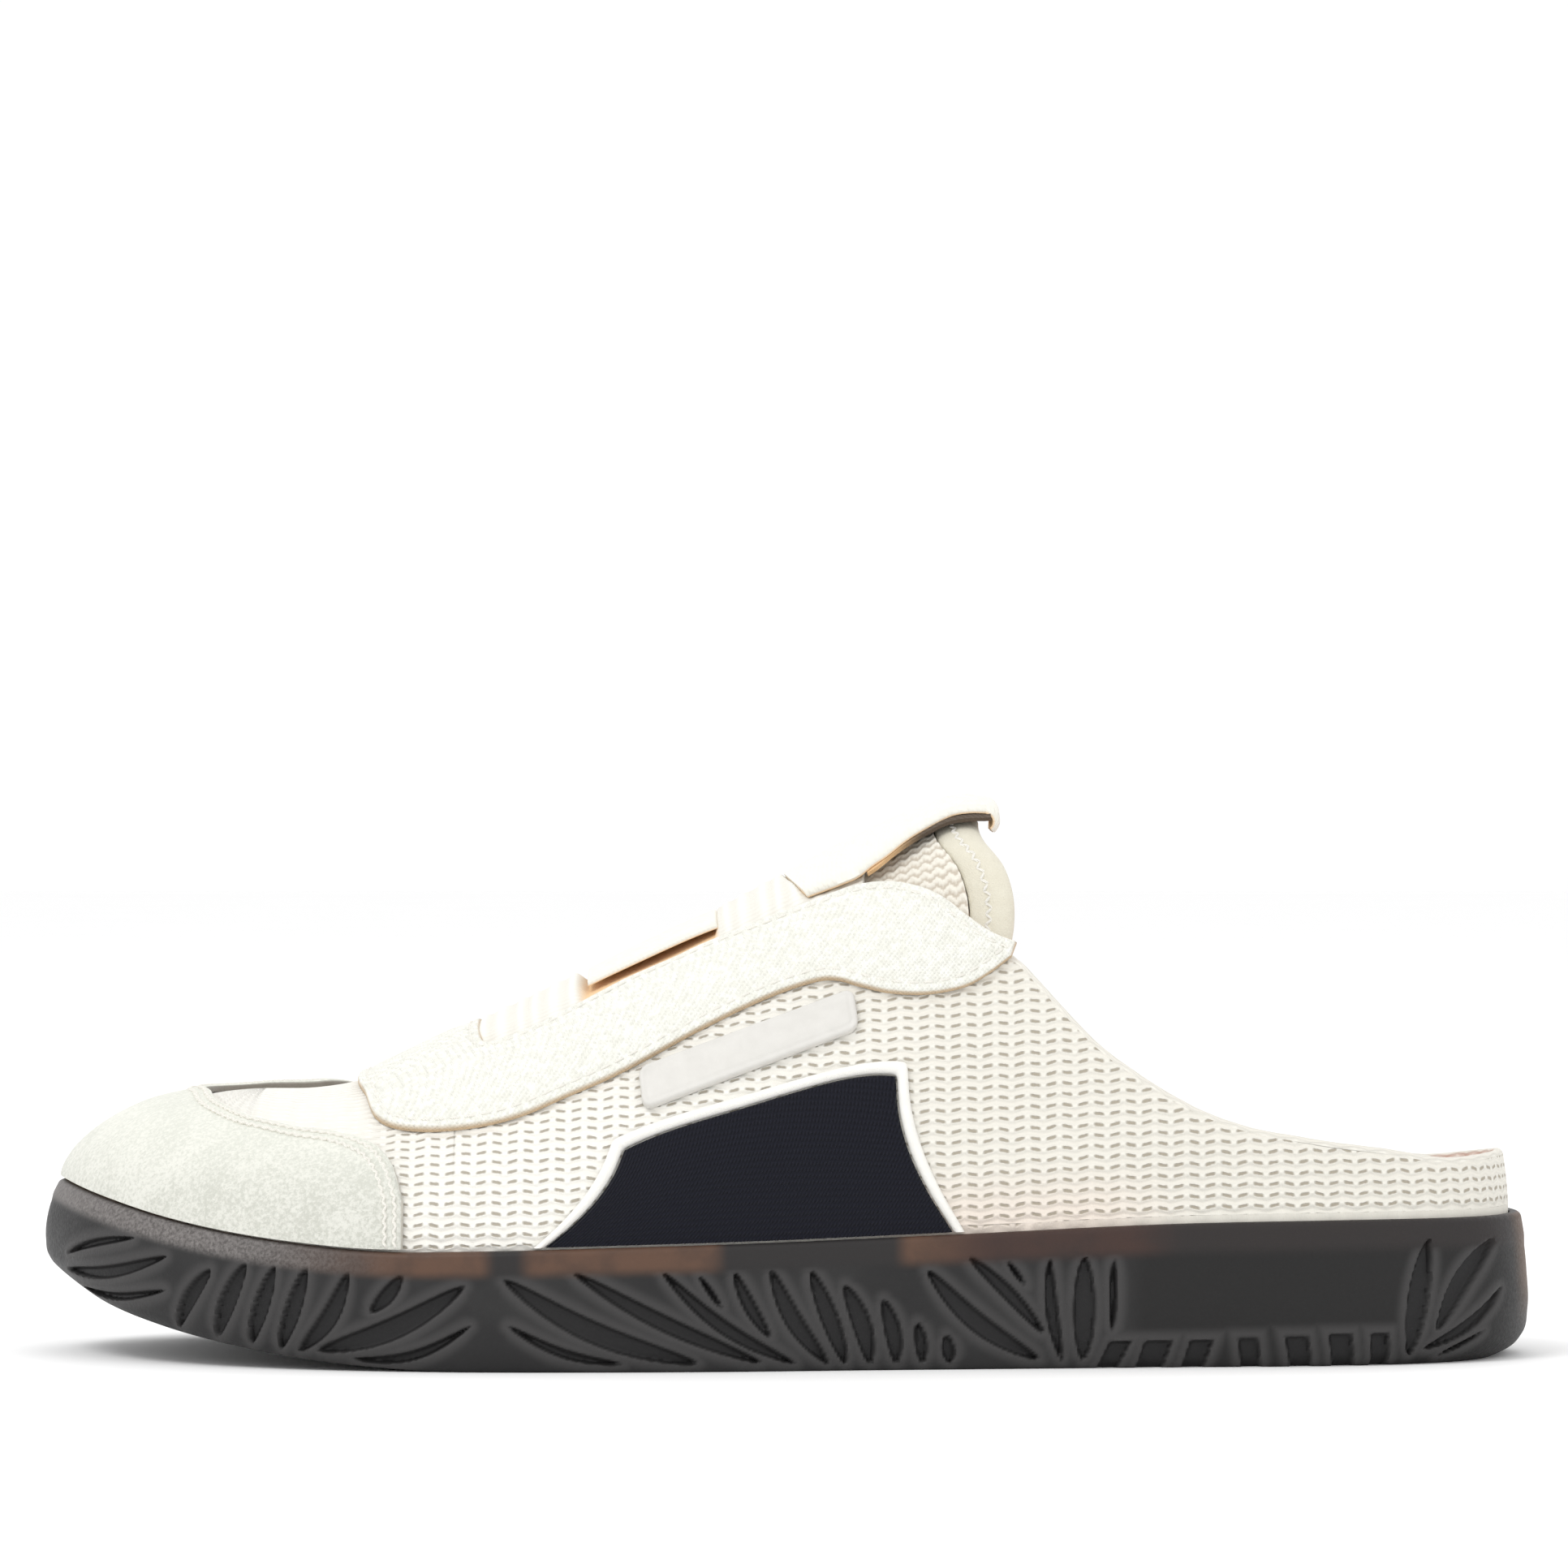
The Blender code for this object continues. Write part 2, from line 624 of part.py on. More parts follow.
def finish(name, mesh_data, slot=None):
    """Weld a piece's mesh, turn its faces outward and add it to the scene as one named object."""
    bmesh.ops.remove_doubles(mesh_data, verts=mesh_data.verts, dist=WELD)
    bmesh.ops.dissolve_degenerate(mesh_data, edges=mesh_data.edges, dist=WELD)
    bmesh.ops.recalc_face_normals(mesh_data, faces=mesh_data.faces)
    if mesh_data.calc_volume(signed=True) < 0:
        bmesh.ops.reverse_faces(mesh_data, faces=mesh_data.faces)
    mesh = bpy.data.meshes.new(name)
    mesh_data.to_mesh(mesh)
    mesh_data.free()
    mesh.shade_smooth()
    mesh.set_sharp_from_angle(angle=SHARP_ANGLE)
    piece = bpy.data.objects.new(name, mesh)
    piece.data.materials.append(material(slot or name))
    bpy.context.collection.objects.link(piece)
    return piece


def slab(name, low, high, slot=None, ring=False):
    """A closed solid between two grids of points, low below high; a ring's last column meets its first."""
    made = bmesh.new()
    layers = [[[made.verts.new(point) for point in column] for column in grid] for grid in (low, high)]
    columns, rows = len(low), len(low[0])
    pairs = [(c, (c + 1) % columns) for c in range(columns if ring else columns - 1)]
    for c, d in pairs:
        for r in range(rows - 1):
            for layer in layers:
                made.faces.new((layer[c][r], layer[d][r], layer[d][r + 1], layer[c][r + 1]))
        for r in (0, rows - 1):
            made.faces.new((layers[0][c][r], layers[0][d][r], layers[1][d][r], layers[1][c][r]))
    for c in () if ring else (0, columns - 1):
        for r in range(rows - 1):
            made.faces.new((layers[0][c][r], layers[0][c][r + 1], layers[1][c][r + 1], layers[1][c][r]))
    return finish(name, made, slot)


SIDE_STEP = 0.039
SIDES_END = RIDGE_BACK + 0.14
TOE_COLUMNS = 20
HEEL_COLUMNS = 12


def column_shares(loop, extra=()):
    """Shares for a grid's columns around a loop: even steps along the sides, even shares at both ends."""
    steps = round((SIDES_END - RIDGE_FRONT) / SIDE_STEP)
    stations = sorted({*np.linspace(RIDGE_FRONT, SIDES_END, steps + 1), *extra})
    outer = [loop.share_of(OUTER, x_at(a)) for a in reversed(stations)]
    inner = [loop.share_of(INNER, x_at(a)) for a in stations]
    toe = list(np.linspace(outer[-1], inner[0], TOE_COLUMNS + 1)[1:-1])
    heel = [share % 1.0 for share in np.linspace(inner[-1], 1 + outer[0], HEEL_COLUMNS + 1)[1:-1]]
    return [*outer, *toe, *inner, *heel]


# Shape of a groove's outline: how blunt its ends are, its points on each side, and where its floor begins
GROOVE_BLUNT = 0.5
GROOVE_POINTS = 3
FLOOR_START = 0.10


def groove_loops(row, side, perimeter):
    """A groove's edge and the edge of its floor, as points of the unrolled wall in metres."""
    ends = []
    for along, height in ((row.top_along, row.top_height), (row.foot_along, row.foot_height)):
        share = SOLE_LOOP.share_of(side, x_at(along))
        wall = rim_height(along) - tread_height(along)
        ends.append(Vector((share * perimeter, height * wall)))
    run = ends[1] - ends[0]
    sideways = Vector((run.y, -run.x)).normalized() * side

    def loop(half_width, start):
        points = []
        for turn in (1, -1):
            steps = np.linspace(start, 1 - start, GROOVE_POINTS + 2)
            for t in steps[:-1] if turn == 1 else steps[:0:-1]:
                half = half_width * math.sin(math.pi * t) ** GROOVE_BLUNT
                bow = row.bow * math.sin(math.pi * t)
                points.append(ends[0] + run * t + sideways * (bow + turn * half))
        return points

    bevel = min(GROOVE_BEVEL, row.width / 4)
    return loop(row.width / 2, 0.0), loop(row.width / 2 - bevel, FLOOR_START)


NOTCH_BEVEL = 0.6 * MM


def notch_loops(row, side, perimeter):
    """A notch's edge and the edge of its floor, as points of the unrolled wall in metres."""
    corners = (
        (row.front, row.top),
        (row.back, row.top),
        (row.back + row.lean, row.foot),
        (row.front + row.lean, row.foot),
    )
    edge = []
    for along, height in corners:
        share = SOLE_LOOP.share_of(side, x_at(along))
        edge.append(Vector((share * perimeter, height * (rim_height(along) - tread_height(along)))))
    middle = sum(edge, Vector((0, 0))) / len(edge)
    floor = [point + (middle - point).normalized() * NOTCH_BEVEL for point in edge]
    return edge, floor


def inside(point, loop):
    crossings = 0
    for a, b in zip(loop, [*loop[1:], loop[0]]):
        if (a.y > point.y) != (b.y > point.y):
            crossings += point.x < a.x + (point.y - a.y) / (b.y - a.y) * (b.x - a.x)
    return crossings % 2 == 1


def wall_point(share, height, depth):
    """A point of the sole's side wall, at a share of the wall's own height, cut in by a depth."""
    along = sole_along(share)
    into = bulge(along) * wall_bulge(height) + edge_round(along) * wall_round(height) + depth
    here = SOLE_LOOP.at(share)
    run = SOLE_LOOP.at(share + SHARE_STEP) - SOLE_LOOP.at(share - SHARE_STEP)
    run /= np.linalg.norm(run)
    z = between(tread_height(along), rim_height(along), height)
    return np.array([here[0] + run[1] * into, here[1] - run[0] * into, z])


# Units of the unrolled wall in the triangulation are metres, and two of its points closer than this are one
CDT_WELD = 1e-7
CLEAR_OF_GROOVE = 0.9 * MM

# Columns nearer than this to the seam at the back of the heel give way to it, as a share of the way round
SEAM_CLEAR = 0.002


def outsole():
    """The cupsole: its grooved side, the tread, the rim's lip and the bed."""
    perimeter = float(np.sum(np.linalg.norm(np.diff(SOLE_LOOP.closed, axis=0), axis=1)))
    shares = sorted(column_shares(SOLE_LOOP))
    shares = [0.0, *[s for s in shares if SEAM_CLEAR < s < 1 - SEAM_CLEAR], 1.0]
    loops = []
    for side in (OUTER, INNER):
        loops += [groove_loops(row, side, perimeter) for row in GROOVES]
        loops += [notch_loops(row, side, perimeter) for row in NOTCHES]

    def wall_height(share):
        along = sole_along(share)
        return rim_height(along) - tread_height(along)

    points, depths, edges = [], [], []
    rows = [row.height for row in WALL]
    grid = {}
    for c, share in enumerate(shares):
        for r, height in enumerate(rows):
            spot = Vector((share * perimeter, height * wall_height(share)))
            border = r in (0, len(rows) - 1) or c in (0, len(shares) - 1)
            near = any(inside(spot, edge) or min((spot - p).length for p in edge) < CLEAR_OF_GROOVE
                       for edge, _ in loops)
            if border or not near:
                grid[c, r] = len(points)
                points.append(spot)
                depths.append(0.0)
    last_row, last_column = len(rows) - 1, len(shares) - 1
    for c in range(last_column):
        edges += [(grid[c, r], grid[c + 1, r]) for r in (0, last_row)]
    for r in range(last_row):
        edges += [(grid[c, r], grid[c, r + 1]) for c in (0, last_column)]
    for edge_loop, floor_loop in loops:
        for loop, depth in ((edge_loop, 0.0), (floor_loop, GROOVE_DEPTH)):
            first = len(points)
            points += loop
            depths += [depth] * len(loop)
            edges += [(first + i, first + (i + 1) % len(loop)) for i in range(len(loop))]
    flat, _, faces, origins, _, _ = delaunay_2d_cdt(points, edges, [], 1, CDT_WELD)
    made = bmesh.new()
    wall = []
    for spot, origin in zip(flat, origins):
        share = spot.x / perimeter
        depth = max((depths[i] for i in origin), default=0.0)
        wall.append(made.verts.new(wall_point(share, spot.y / wall_height(share), depth)))
    for face in faces:
        made.faces.new([wall[i] for i in face])

    ring = shares[:-1]
    lip = [np.array([*RIM_LOOP.at(s), rim_height(sole_along(s))]) for s in ring]
    lip_in = [np.array([*BED_LOOP.at(s), rim_height(sole_along(s))]) for s in ring]
    bed = [point - np.array([0, 0, BED_DEPTH]) for point in lip_in]
    wall_top = [wall_point(s, 1.0, 0.0) for s in ring]
    wall_foot = [wall_point(s, 0.0, 0.0) for s in ring]
    stitch_rings(made, [wall_top, lip_in, bed])
    fan_faces(made, fan_grid(bed, bed_height, ring, 0.0))
    fan_faces(made, fan_grid(wall_foot, tread_height, ring, 0.0))
    return finish("outsole", made)


def stitch_rings(made, rings):
    layers = [[made.verts.new(point) for point in ring] for ring in rings]
    count = len(rings[0])
    for low, high in zip(layers, layers[1:]):
        for i in range(count):
            j = (i + 1) % count
            made.faces.new((low[i], low[j], high[j], high[i]))


def bed_height(along):
    return rim_height(along) - BED_DEPTH


SPINE_FRONT = 0.16
SPINE_BACK = 0.86
SPINE_SIDE = 0.02


def spine_point(along, height, out):
    along = min(max(along, SPINE_FRONT), SPINE_BACK)
    return np.array([x_at(along), SPINE_SIDE * BALL_WIDTH, height(along) + out])


def fan_grid(ring, height, shares, out, steps=2):
    """Points from a ring in to the spine of the sole, column by column, at a height off the floor's curve."""
    columns = []
    for point, share in zip(ring, shares):
        spine = spine_point(sole_along(share), height, out)
        edge = np.array([point[0], point[1], height(sole_along(share)) + out])
        columns.append([edge + (spine - edge) * step / steps for step in range(steps + 1)])
    return columns


def fan_faces(made, grid):
    """Faces between the columns of a fan, with fewer corners where two columns share their spine point."""
    verts = [[made.verts.new(point) for point in column] for column in grid]
    for c in range(len(grid)):
        d = (c + 1) % len(grid)
        for r in range(len(grid[0]) - 1):
            corners = []
            for vert in (verts[c][r], verts[d][r], verts[d][r + 1], verts[c][r + 1]):
                if all((vert.co - other.co).length > WELD for other in corners):
                    corners.append(vert)
            if len(corners) > 2:
                made.faces.new(corners)
    return [column[0] for column in verts]


def insole():
    """The footbed on the sole's bed."""
    shares = sorted(column_shares(SOLE_LOOP))
    ring = [INSOLE_LOOP.at(share) for share in shares]
    made = bmesh.new()
    low = fan_faces(made, fan_grid(ring, bed_height, shares, GAP))
    high = fan_faces(made, fan_grid(ring, bed_height, shares, GAP + INSOLE_THICK))
    for c in range(len(ring)):
        d = (c + 1) % len(ring)
        made.faces.new((low[c], low[d], high[d], high[c]))
    return finish("insole", made)


topline = curve(TOPLINE, "rise")
UPPER_ROWS = 8
COLLAR_FROM = 0.66
COLLAR_BLEND = 0.10
SIDE_BLEND = 14
THROAT_COLUMNS = (THROAT_FRONT - 0.002, THROAT_FRONT + 0.003, 0.292, 0.300)


def shell_top(share):
    """The angle of the shell's top edge: the ridge ahead of the throat, lower on the collar's inner side."""
    along = along_at(FEATHER_LOOP.at(share)[0])
    if along < THROAT_FRONT:
        return math.pi / 2
    inner = min(max((share - 0.5) * SIDE_BLEND, 0.0), 1.0) * min(max((1.0 - share) * SIDE_BLEND, 0.0), 1.0)
    collar = min(max((along - COLLAR_FROM) / COLLAR_BLEND, 0.0), 1.0)
    section = ridge_height(along) - rim_height(along)
    return rise_angle(along, topline(along) - inner * collar * COLLAR_DROP / section)


def upper():
    """The knitted shell: one wall from the sole's bed up to the ridge, the throat and the collar."""
    shares = column_shares(FEATHER_LOOP, extra=THROAT_COLUMNS)
    made = bmesh.new()
    columns = []
    for share in shares:
        foot = last_point(share, 0.0)
        top = shell_top(share)
        points = [foot - np.array([0, 0, BED_DEPTH - GAP])]
        points += [last_point(share, top * row / UPPER_ROWS) for row in range(UPPER_ROWS + 1)]
        columns.append([made.verts.new(point) for point in points])
    count = len(columns)
    for c in range(count):
        d = (c + 1) % count
        for r in range(len(columns[0]) - 1):
            made.faces.new((columns[c][r], columns[d][r], columns[d][r + 1], columns[c][r + 1]))
    piece = finish("upper", made)
    wall = piece.modifiers.new("wall", "SOLIDIFY")
    wall.thickness = UPPER_WALL
    wall.offset = -1
    wall.use_even_offset = True
    return piece


cap_outer, cap_inner = curve(CAP_OUTER, "rise"), curve(CAP_INNER, "rise")
CAP_ROWS = 7


def toe_cap():
    """The suede mudguard around the toe, on the shell's own columns."""
    ends = [side_share(OUTER, CAP_OUTER[-1].along), side_share(INNER, CAP_INNER[-1].along)]
    ends += [side_share(OUTER, row.along) for row in CAP_OUTER[-4:-1]]
    ends += [side_share(INNER, row.along) for row in CAP_INNER[-6:-1]]
    shares = sorted({*ends, *[s for s in column_shares(FEATHER_LOOP) if ends[0] < s < ends[1]]})
    tip = FEATHER_LOOP.tip / OUTLINE_SAMPLES
    low, high = [], []
    for share in shares:
        along = along_at(FEATHER_LOOP.at(share)[0])
        rise = cap_outer(along) if share < tip else cap_inner(along)
        foot_angle = rise_angle(along, 2 * GAP / (TOE_BOX_TOP - rim_height(along)))
        top_angle = rise_angle(along, rise)
        angles = [between(foot_angle, top_angle, r / CAP_ROWS) for r in range(CAP_ROWS + 1)]
        low.append([off_last(share, angle, GAP + FACET_ROOM / 2) for angle in angles])
        high.append([off_last(share, angle, GAP + TOE_CAP_THICK) for angle in angles])
    return slab("toe_cap", low, high)


def turn_path(rows, count):
    """Both sides of an edge as one path of (along, turn), from the outer tip over the ridge to the inner."""
    half = [(row.along, rise_angle(row.along, row.rise)) for row in rows]
    path = np.array([*reversed(half), *[(along, math.pi - turn) for along, turn in half[1:]]])
    scaled = path * np.array([SOLE_LENGTH, BALL_WIDTH / 3])
    lengths = np.concatenate([[0], np.cumsum(np.linalg.norm(np.diff(scaled, axis=0), axis=1))])
    even = np.linspace(0, lengths[-1], count)
    return np.column_stack([np.interp(even, lengths, path[:, axis]) for axis in (0, 1)])


EYESTAY_COLUMNS = 50
EYESTAY_ROWS = 3


def eyestay():
    """The U-shaped overlay across the vamp and up both sides of the throat."""
    outer = turn_path(EYESTAY_OUTER, EYESTAY_COLUMNS + 1)
    inner = turn_path(EYESTAY_INNER, EYESTAY_COLUMNS + 1)
    low, high = [], []
    for edge, throat in zip(outer, inner):
        spots = [between(edge, throat, r / EYESTAY_ROWS) for r in range(EYESTAY_ROWS + 1)]
        low.append([off_section(*spot, GAP + FACET_ROOM / 2) for spot in spots])
        high.append([off_section(*spot, GAP + EYESTAY_THICK) for spot in spots])
    return slab("eyestay", low, high)


throat_edge = curve(EYESTAY_INNER[3:], "rise")
GORE_ROWS = 10
GORE_START = 0.294
GORE_EASE = 0.006
GORE_CLEAR = 1.5 * MM
GORE_STATIONS = (
    GORE_START,
    GORE_START + 2 * GORE_EASE,
    0.335,
    STRAP_FRONT - GORE_EASE,
    STRAP_FRONT,
    (STRAP_FRONT + STRAP_BACK) / 2,
    STRAP_BACK,
    STRAP_BACK + GORE_EASE,
    0.480,
    LOOP[0].along - GORE_EASE,
    LOOP[0].along,
    GORE_BACK,
)


def gore_out(along, turn):
    """The gore swells between the eyestay's arms, but lies flat under the strap and under the pull loop."""
    flat = STRAP_FRONT - MM / SOLE_LENGTH < along < STRAP_BACK + MM / SOLE_LENGTH or along >= LOOP[0].along
    edge = rise_angle(along, throat_edge(along)) + 2 * TURN_STEP
    swell = min(max((min(turn, math.pi - turn) - edge) / (4 * TURN_STEP), 0.0), 1.0)
    crown = 0.0 if flat or along == GORE_START else GORE_CROWN * swell
    return crown - GAP


def gore():
    """The elastic panel that fills the throat between the shell's edges."""
    low, high = [], []
    for along in GORE_STATIONS:
        section = ridge_height(along) - rim_height(along)
        edge = rise_angle(along, topline(along)) + GORE_CLEAR / section
        turns = [between(edge, math.pi - edge, r / GORE_ROWS) for r in range(GORE_ROWS + 1)]
        low.append([off_section(along, turn, gore_out(along, turn) - GORE_THICK) for turn in turns])
        high.append([off_section(along, turn, gore_out(along, turn)) for turn in turns])
    return slab("throat_gore", low, high)


ARC_STEP = 0.1


def strap_turns(along, width, rows):
    """Turns across the ridge whose points lie evenly over a strap's width."""
    arc = np.linalg.norm(section_point(along, math.pi / 2 - ARC_STEP) - section_point(along, math.pi / 2))
    half = min(width / 2 / (arc / ARC_STEP), 1.0)
    return [math.pi / 2 + between(-half, half, r / rows) for r in range(rows + 1)]


STRAP_COLUMNS = 10
STRAP_ROWS = 5
STRAP_SKEW = 1.4
STRAP_BLUNT = 0.7


def instep_strap():
    """The webbing bridge over the gore: tacked down at both ends and lifted between them."""
    low, high = [], []
    for c in range(STRAP_COLUMNS + 1):
        t = c / STRAP_COLUMNS
        along = between(STRAP_FRONT + GORE_EASE / 4, STRAP_BACK - GORE_EASE / 4, t)
        lift = GAP + STRAP_LIFT * math.sin(math.pi * t**STRAP_SKEW) ** STRAP_BLUNT
        turns = strap_turns(along, STRAP_WIDTH, STRAP_ROWS)
        low.append([off_section(along, turn, lift) for turn in turns])
        high.append([off_section(along, turn, lift + STRAP_THICK) for turn in turns])
    return slab("instep_strap", low, high)


tongue_edge = curve(TONGUE_EDGE, "along", "angle")
TONGUE_ROWS = 12
TONGUE_COLUMNS = 7


def tongue_out(along, turn):
    """How far the tongue's outer face stands off the last: under the shell, then up at its free end."""
    free = min(max((along - TONGUE_RISE_FROM) / (TONGUE_RISE_TO - TONGUE_RISE_FROM), 0.0), 1.0)
    covered = rise_angle(along, throat_edge(along))
    angle = min(turn, math.pi - turn)
    open_part = min(max((angle - covered - TURN_STEP * 2) / (TURN_STEP * 6), 0.0), 1.0)
    return -(UPPER_WALL + GAP + FACET_ROOM) * (1 - free**2 * (3 - 2 * free) * open_part)


def tongue_end(turn, ahead):
    """The place along, at one turn, that lies a distance ahead of the tongue's rear edge."""
    return tongue_edge(math.degrees(turn)) - ahead / SOLE_LENGTH


def tongue():
    """The padded tongue, up to its binding."""
    first, last = (math.radians(row.angle) for row in (TONGUE_EDGE[0], TONGUE_EDGE[-1]))
    low, high = [], []
    for c in range(TONGUE_COLUMNS + 1):
        t = c / TONGUE_COLUMNS
        low_column, high_column = [], []
        for r in range(TONGUE_ROWS + 1):
            turn = between(first, last, r / TONGUE_ROWS)
            along = between(TONGUE_FRONT, tongue_end(turn, BINDING_WIDTH + GAP), t)
            out = tongue_out(along, turn)
            low_column.append(off_section(along, turn, out - TONGUE_THICK))
            high_column.append(off_section(along, turn, out))
        low.append(low_column)
        high.append(high_column)
    return slab("tongue", low, high)


# Round of the binding's end: how much of its thickness is left at each share of its width
Roll = namedtuple("Roll", "width thick")
ROLL = (
    Roll(0.00, 1.00),
    Roll(0.40, 1.00),
    Roll(0.75, 0.80),
    Roll(0.93, 0.50),
    Roll(1.00, 0.22),
)


def tongue_binding():
    """The padded roll along the tongue's rear edge."""
    first, last = (math.radians(row.angle) for row in (TONGUE_EDGE[0], TONGUE_EDGE[-1]))
    low, high = [], []
    for row in ROLL:
        low_column, high_column = [], []
        for r in range(TONGUE_ROWS + 1):
            turn = between(first, last, r / TONGUE_ROWS)
            along = tongue_end(turn, BINDING_WIDTH * (1 - row.width))
            middle = tongue_out(along, turn) - TONGUE_THICK / 2
            half = (TONGUE_THICK / 2) * row.thick
            low_column.append(off_section(along, turn, middle - half))
            high_column.append(off_section(along, turn, middle + half))
        low.append(low_column)
        high.append(high_column)
    return slab("tongue_binding", low, high)


LOOP_COLUMNS = 12
LOOP_ROWS = 5
FOLD_STEPS = 4
loop_lift, loop_width = curve(LOOP, "lift"), curve(LOOP, "width")


def pull_loop():
    """The webbing up the tongue, folded back on itself past the tongue's top edge."""
    low, high = [], []
    for c in range(LOOP_COLUMNS + 1):
        t = c / LOOP_COLUMNS
        along = between(LOOP[0].along, LOOP[-1].along, t)
        lift = loop_lift(along) * LOOP_LIFT
        turns = strap_turns(along, loop_width(along), LOOP_ROWS)
        slant = (1 - t) * LOOP_SLANT / SOLE_LENGTH
        sides = [between(-1, 1, r / LOOP_ROWS) for r in range(LOOP_ROWS + 1)]
        spots = [(along + slant * side**2, turn) for side, turn in zip(sides, turns)]
        low.append([off_section(*spot, lift) for spot in spots])
        high.append([off_section(*spot, lift + LOOP_THICK) for spot in spots])
    ends = low[-1]
    for step in range(1, FOLD_STEPS + 1):
        bend = LOOP_TURN * step / FOLD_STEPS
        ahead = np.array([math.sin(bend), 0, math.cos(bend)])
        fold = ahead - np.array([0, 0, 1])
        low.append([end + fold * LOOP_FOLD for end in ends])
        high.append([end + fold * LOOP_FOLD + ahead * LOOP_THICK for end in ends])
    return slab("pull_loop", low, high)


LABEL_COLUMNS = 10
LABEL_ROWS = 3
LABEL_BLUNT = 0.8
LABEL_SLANT = 0.4


def side_label():
    """The plain rubber tab under the eyestay, a tilted plate with rounded corners."""
    centre_x = x_at(LABEL_ALONG)
    span = ridge_height(LABEL_ALONG) - rim_height(LABEL_ALONG)
    centre_z = rim_height(LABEL_ALONG) + span * LABEL_RISE
    low, high = [], []
    for c in range(LABEL_COLUMNS + 1):
        along_label = between(-0.5, 0.5, c / LABEL_COLUMNS) * LABEL_LENGTH
        past = max(abs(along_label) - (LABEL_LENGTH / 2 - LABEL_CORNER), 0.0)
        half = LABEL_HEIGHT / 2 - LABEL_CORNER + math.sqrt(max(LABEL_CORNER**2 - past**2, 0.0))
        half = max(half, LABEL_HEIGHT / 2 - LABEL_BLUNT * LABEL_CORNER)
        low_column, high_column = [], []
        for r in range(LABEL_ROWS + 1):
            up = between(-half, half, r / LABEL_ROWS)
            x = centre_x + along_label * math.cos(LABEL_TILT) - up * math.sin(LABEL_TILT) * LABEL_SLANT
            z = centre_z + along_label * math.sin(LABEL_TILT) + up
            along = along_at(x)
            low_z, high_z = rim_height(along), ridge_height(along)
            turn = rise_angle(along, (z - low_z) / (high_z - low_z))
            low_column.append(off_section(along, turn, GAP))
            high_column.append(off_section(along, turn, GAP + LABEL_THICK))
        low.append(low_column)
        high.append(high_column)
    return slab("side_label", low, high)


saddle_front, saddle_back = curve(SADDLE, "front", "rise"), curve(SADDLE, "back", "rise")


def saddle_spot(across_share, up_share, grow):
    """A place on the saddle panel, or outside it by a width: (along, rise)."""
    top = SADDLE[-1].rise
    rise = up_share * top
    front, back = saddle_front(rise) - grow / SOLE_LENGTH, saddle_back(rise) + grow / SOLE_LENGTH
    along = between(front, back, across_share)
    span = ridge_height(along) - rim_height(along)
    sunk = SADDLE_TOP_ROUND * abs(2 * across_share - 1) ** 4
    crest = top + SADDLE_TOP_SLOPE * (across_share - 0.5) - sunk + grow / span
    foot = 2 * GAP / span
    return along, between(foot, crest, up_share)


def saddle_point(side, along, rise, out):
    turn = rise_angle(along, rise)
    return off_section(along, turn if side == OUTER else math.pi - turn, out)


PANEL_COLUMNS = 8
PANEL_ROWS = 5


def side_panel(name, side):
    """The dark saddle panel on one side."""
    low, high = [], []
    for c in range(PANEL_COLUMNS + 1):
        spots = [saddle_spot(c / PANEL_COLUMNS, r / PANEL_ROWS, 0.0) for r in range(PANEL_ROWS + 1)]
        low.append([saddle_point(side, *spot, GAP) for spot in spots])
        high.append([saddle_point(side, *spot, GAP + PANEL_THICK) for spot in spots])
    return slab(name, low, high, "side_panel")


def panel_edging(name, side):
    """The raised tape up the front of a saddle panel, over its top and down its back."""
    path = [(0.0, r / PANEL_ROWS) for r in range(PANEL_ROWS)]
    path += [(c / PANEL_COLUMNS, 1.0) for c in range(PANEL_COLUMNS + 1)]
    path += [(1.0, r / PANEL_ROWS) for r in reversed(range(PANEL_ROWS))]
    low, high = [], []
    for spot in path:
        near, far = saddle_spot(*spot, GAP), saddle_spot(*spot, GAP + EDGING_WIDTH)
        low.append([saddle_point(side, *near, GAP), saddle_point(side, *far, GAP)])
        high.append([saddle_point(side, *spot, GAP + EDGING_THICK) for spot in (near, far)])
    return slab(name, low, high, "side_panel_edging")


def main():
    for old in list(bpy.data.objects):
        bpy.data.objects.remove(old)
    outsole()
    insole()
    upper()
    toe_cap()
    eyestay()
    gore()
    instep_strap()
    tongue()
    tongue_binding()
    pull_loop()
    side_label()
    for word, side in (("outer", OUTER), ("inner", INNER)):
        side_panel(f"side_panel_{word}", side)
        panel_edging(f"side_panel_edging_{word}", side)


main()
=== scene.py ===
"""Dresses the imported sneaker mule: finer copies of its pieces, their stitches and their materials."""

import math
from collections import namedtuple

import bpy
import numpy as np
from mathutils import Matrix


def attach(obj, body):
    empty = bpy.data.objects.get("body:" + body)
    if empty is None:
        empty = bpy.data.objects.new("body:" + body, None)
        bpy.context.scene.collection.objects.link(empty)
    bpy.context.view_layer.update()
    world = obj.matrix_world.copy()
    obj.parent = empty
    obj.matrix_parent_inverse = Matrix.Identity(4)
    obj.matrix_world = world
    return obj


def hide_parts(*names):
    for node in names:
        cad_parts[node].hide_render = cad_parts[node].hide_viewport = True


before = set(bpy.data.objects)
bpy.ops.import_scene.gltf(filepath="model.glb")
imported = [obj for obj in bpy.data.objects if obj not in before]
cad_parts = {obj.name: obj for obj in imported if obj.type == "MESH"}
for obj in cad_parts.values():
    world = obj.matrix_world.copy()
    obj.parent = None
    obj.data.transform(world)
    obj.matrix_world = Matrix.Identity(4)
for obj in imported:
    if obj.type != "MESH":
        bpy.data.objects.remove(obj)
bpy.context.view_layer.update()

MM = 0.001

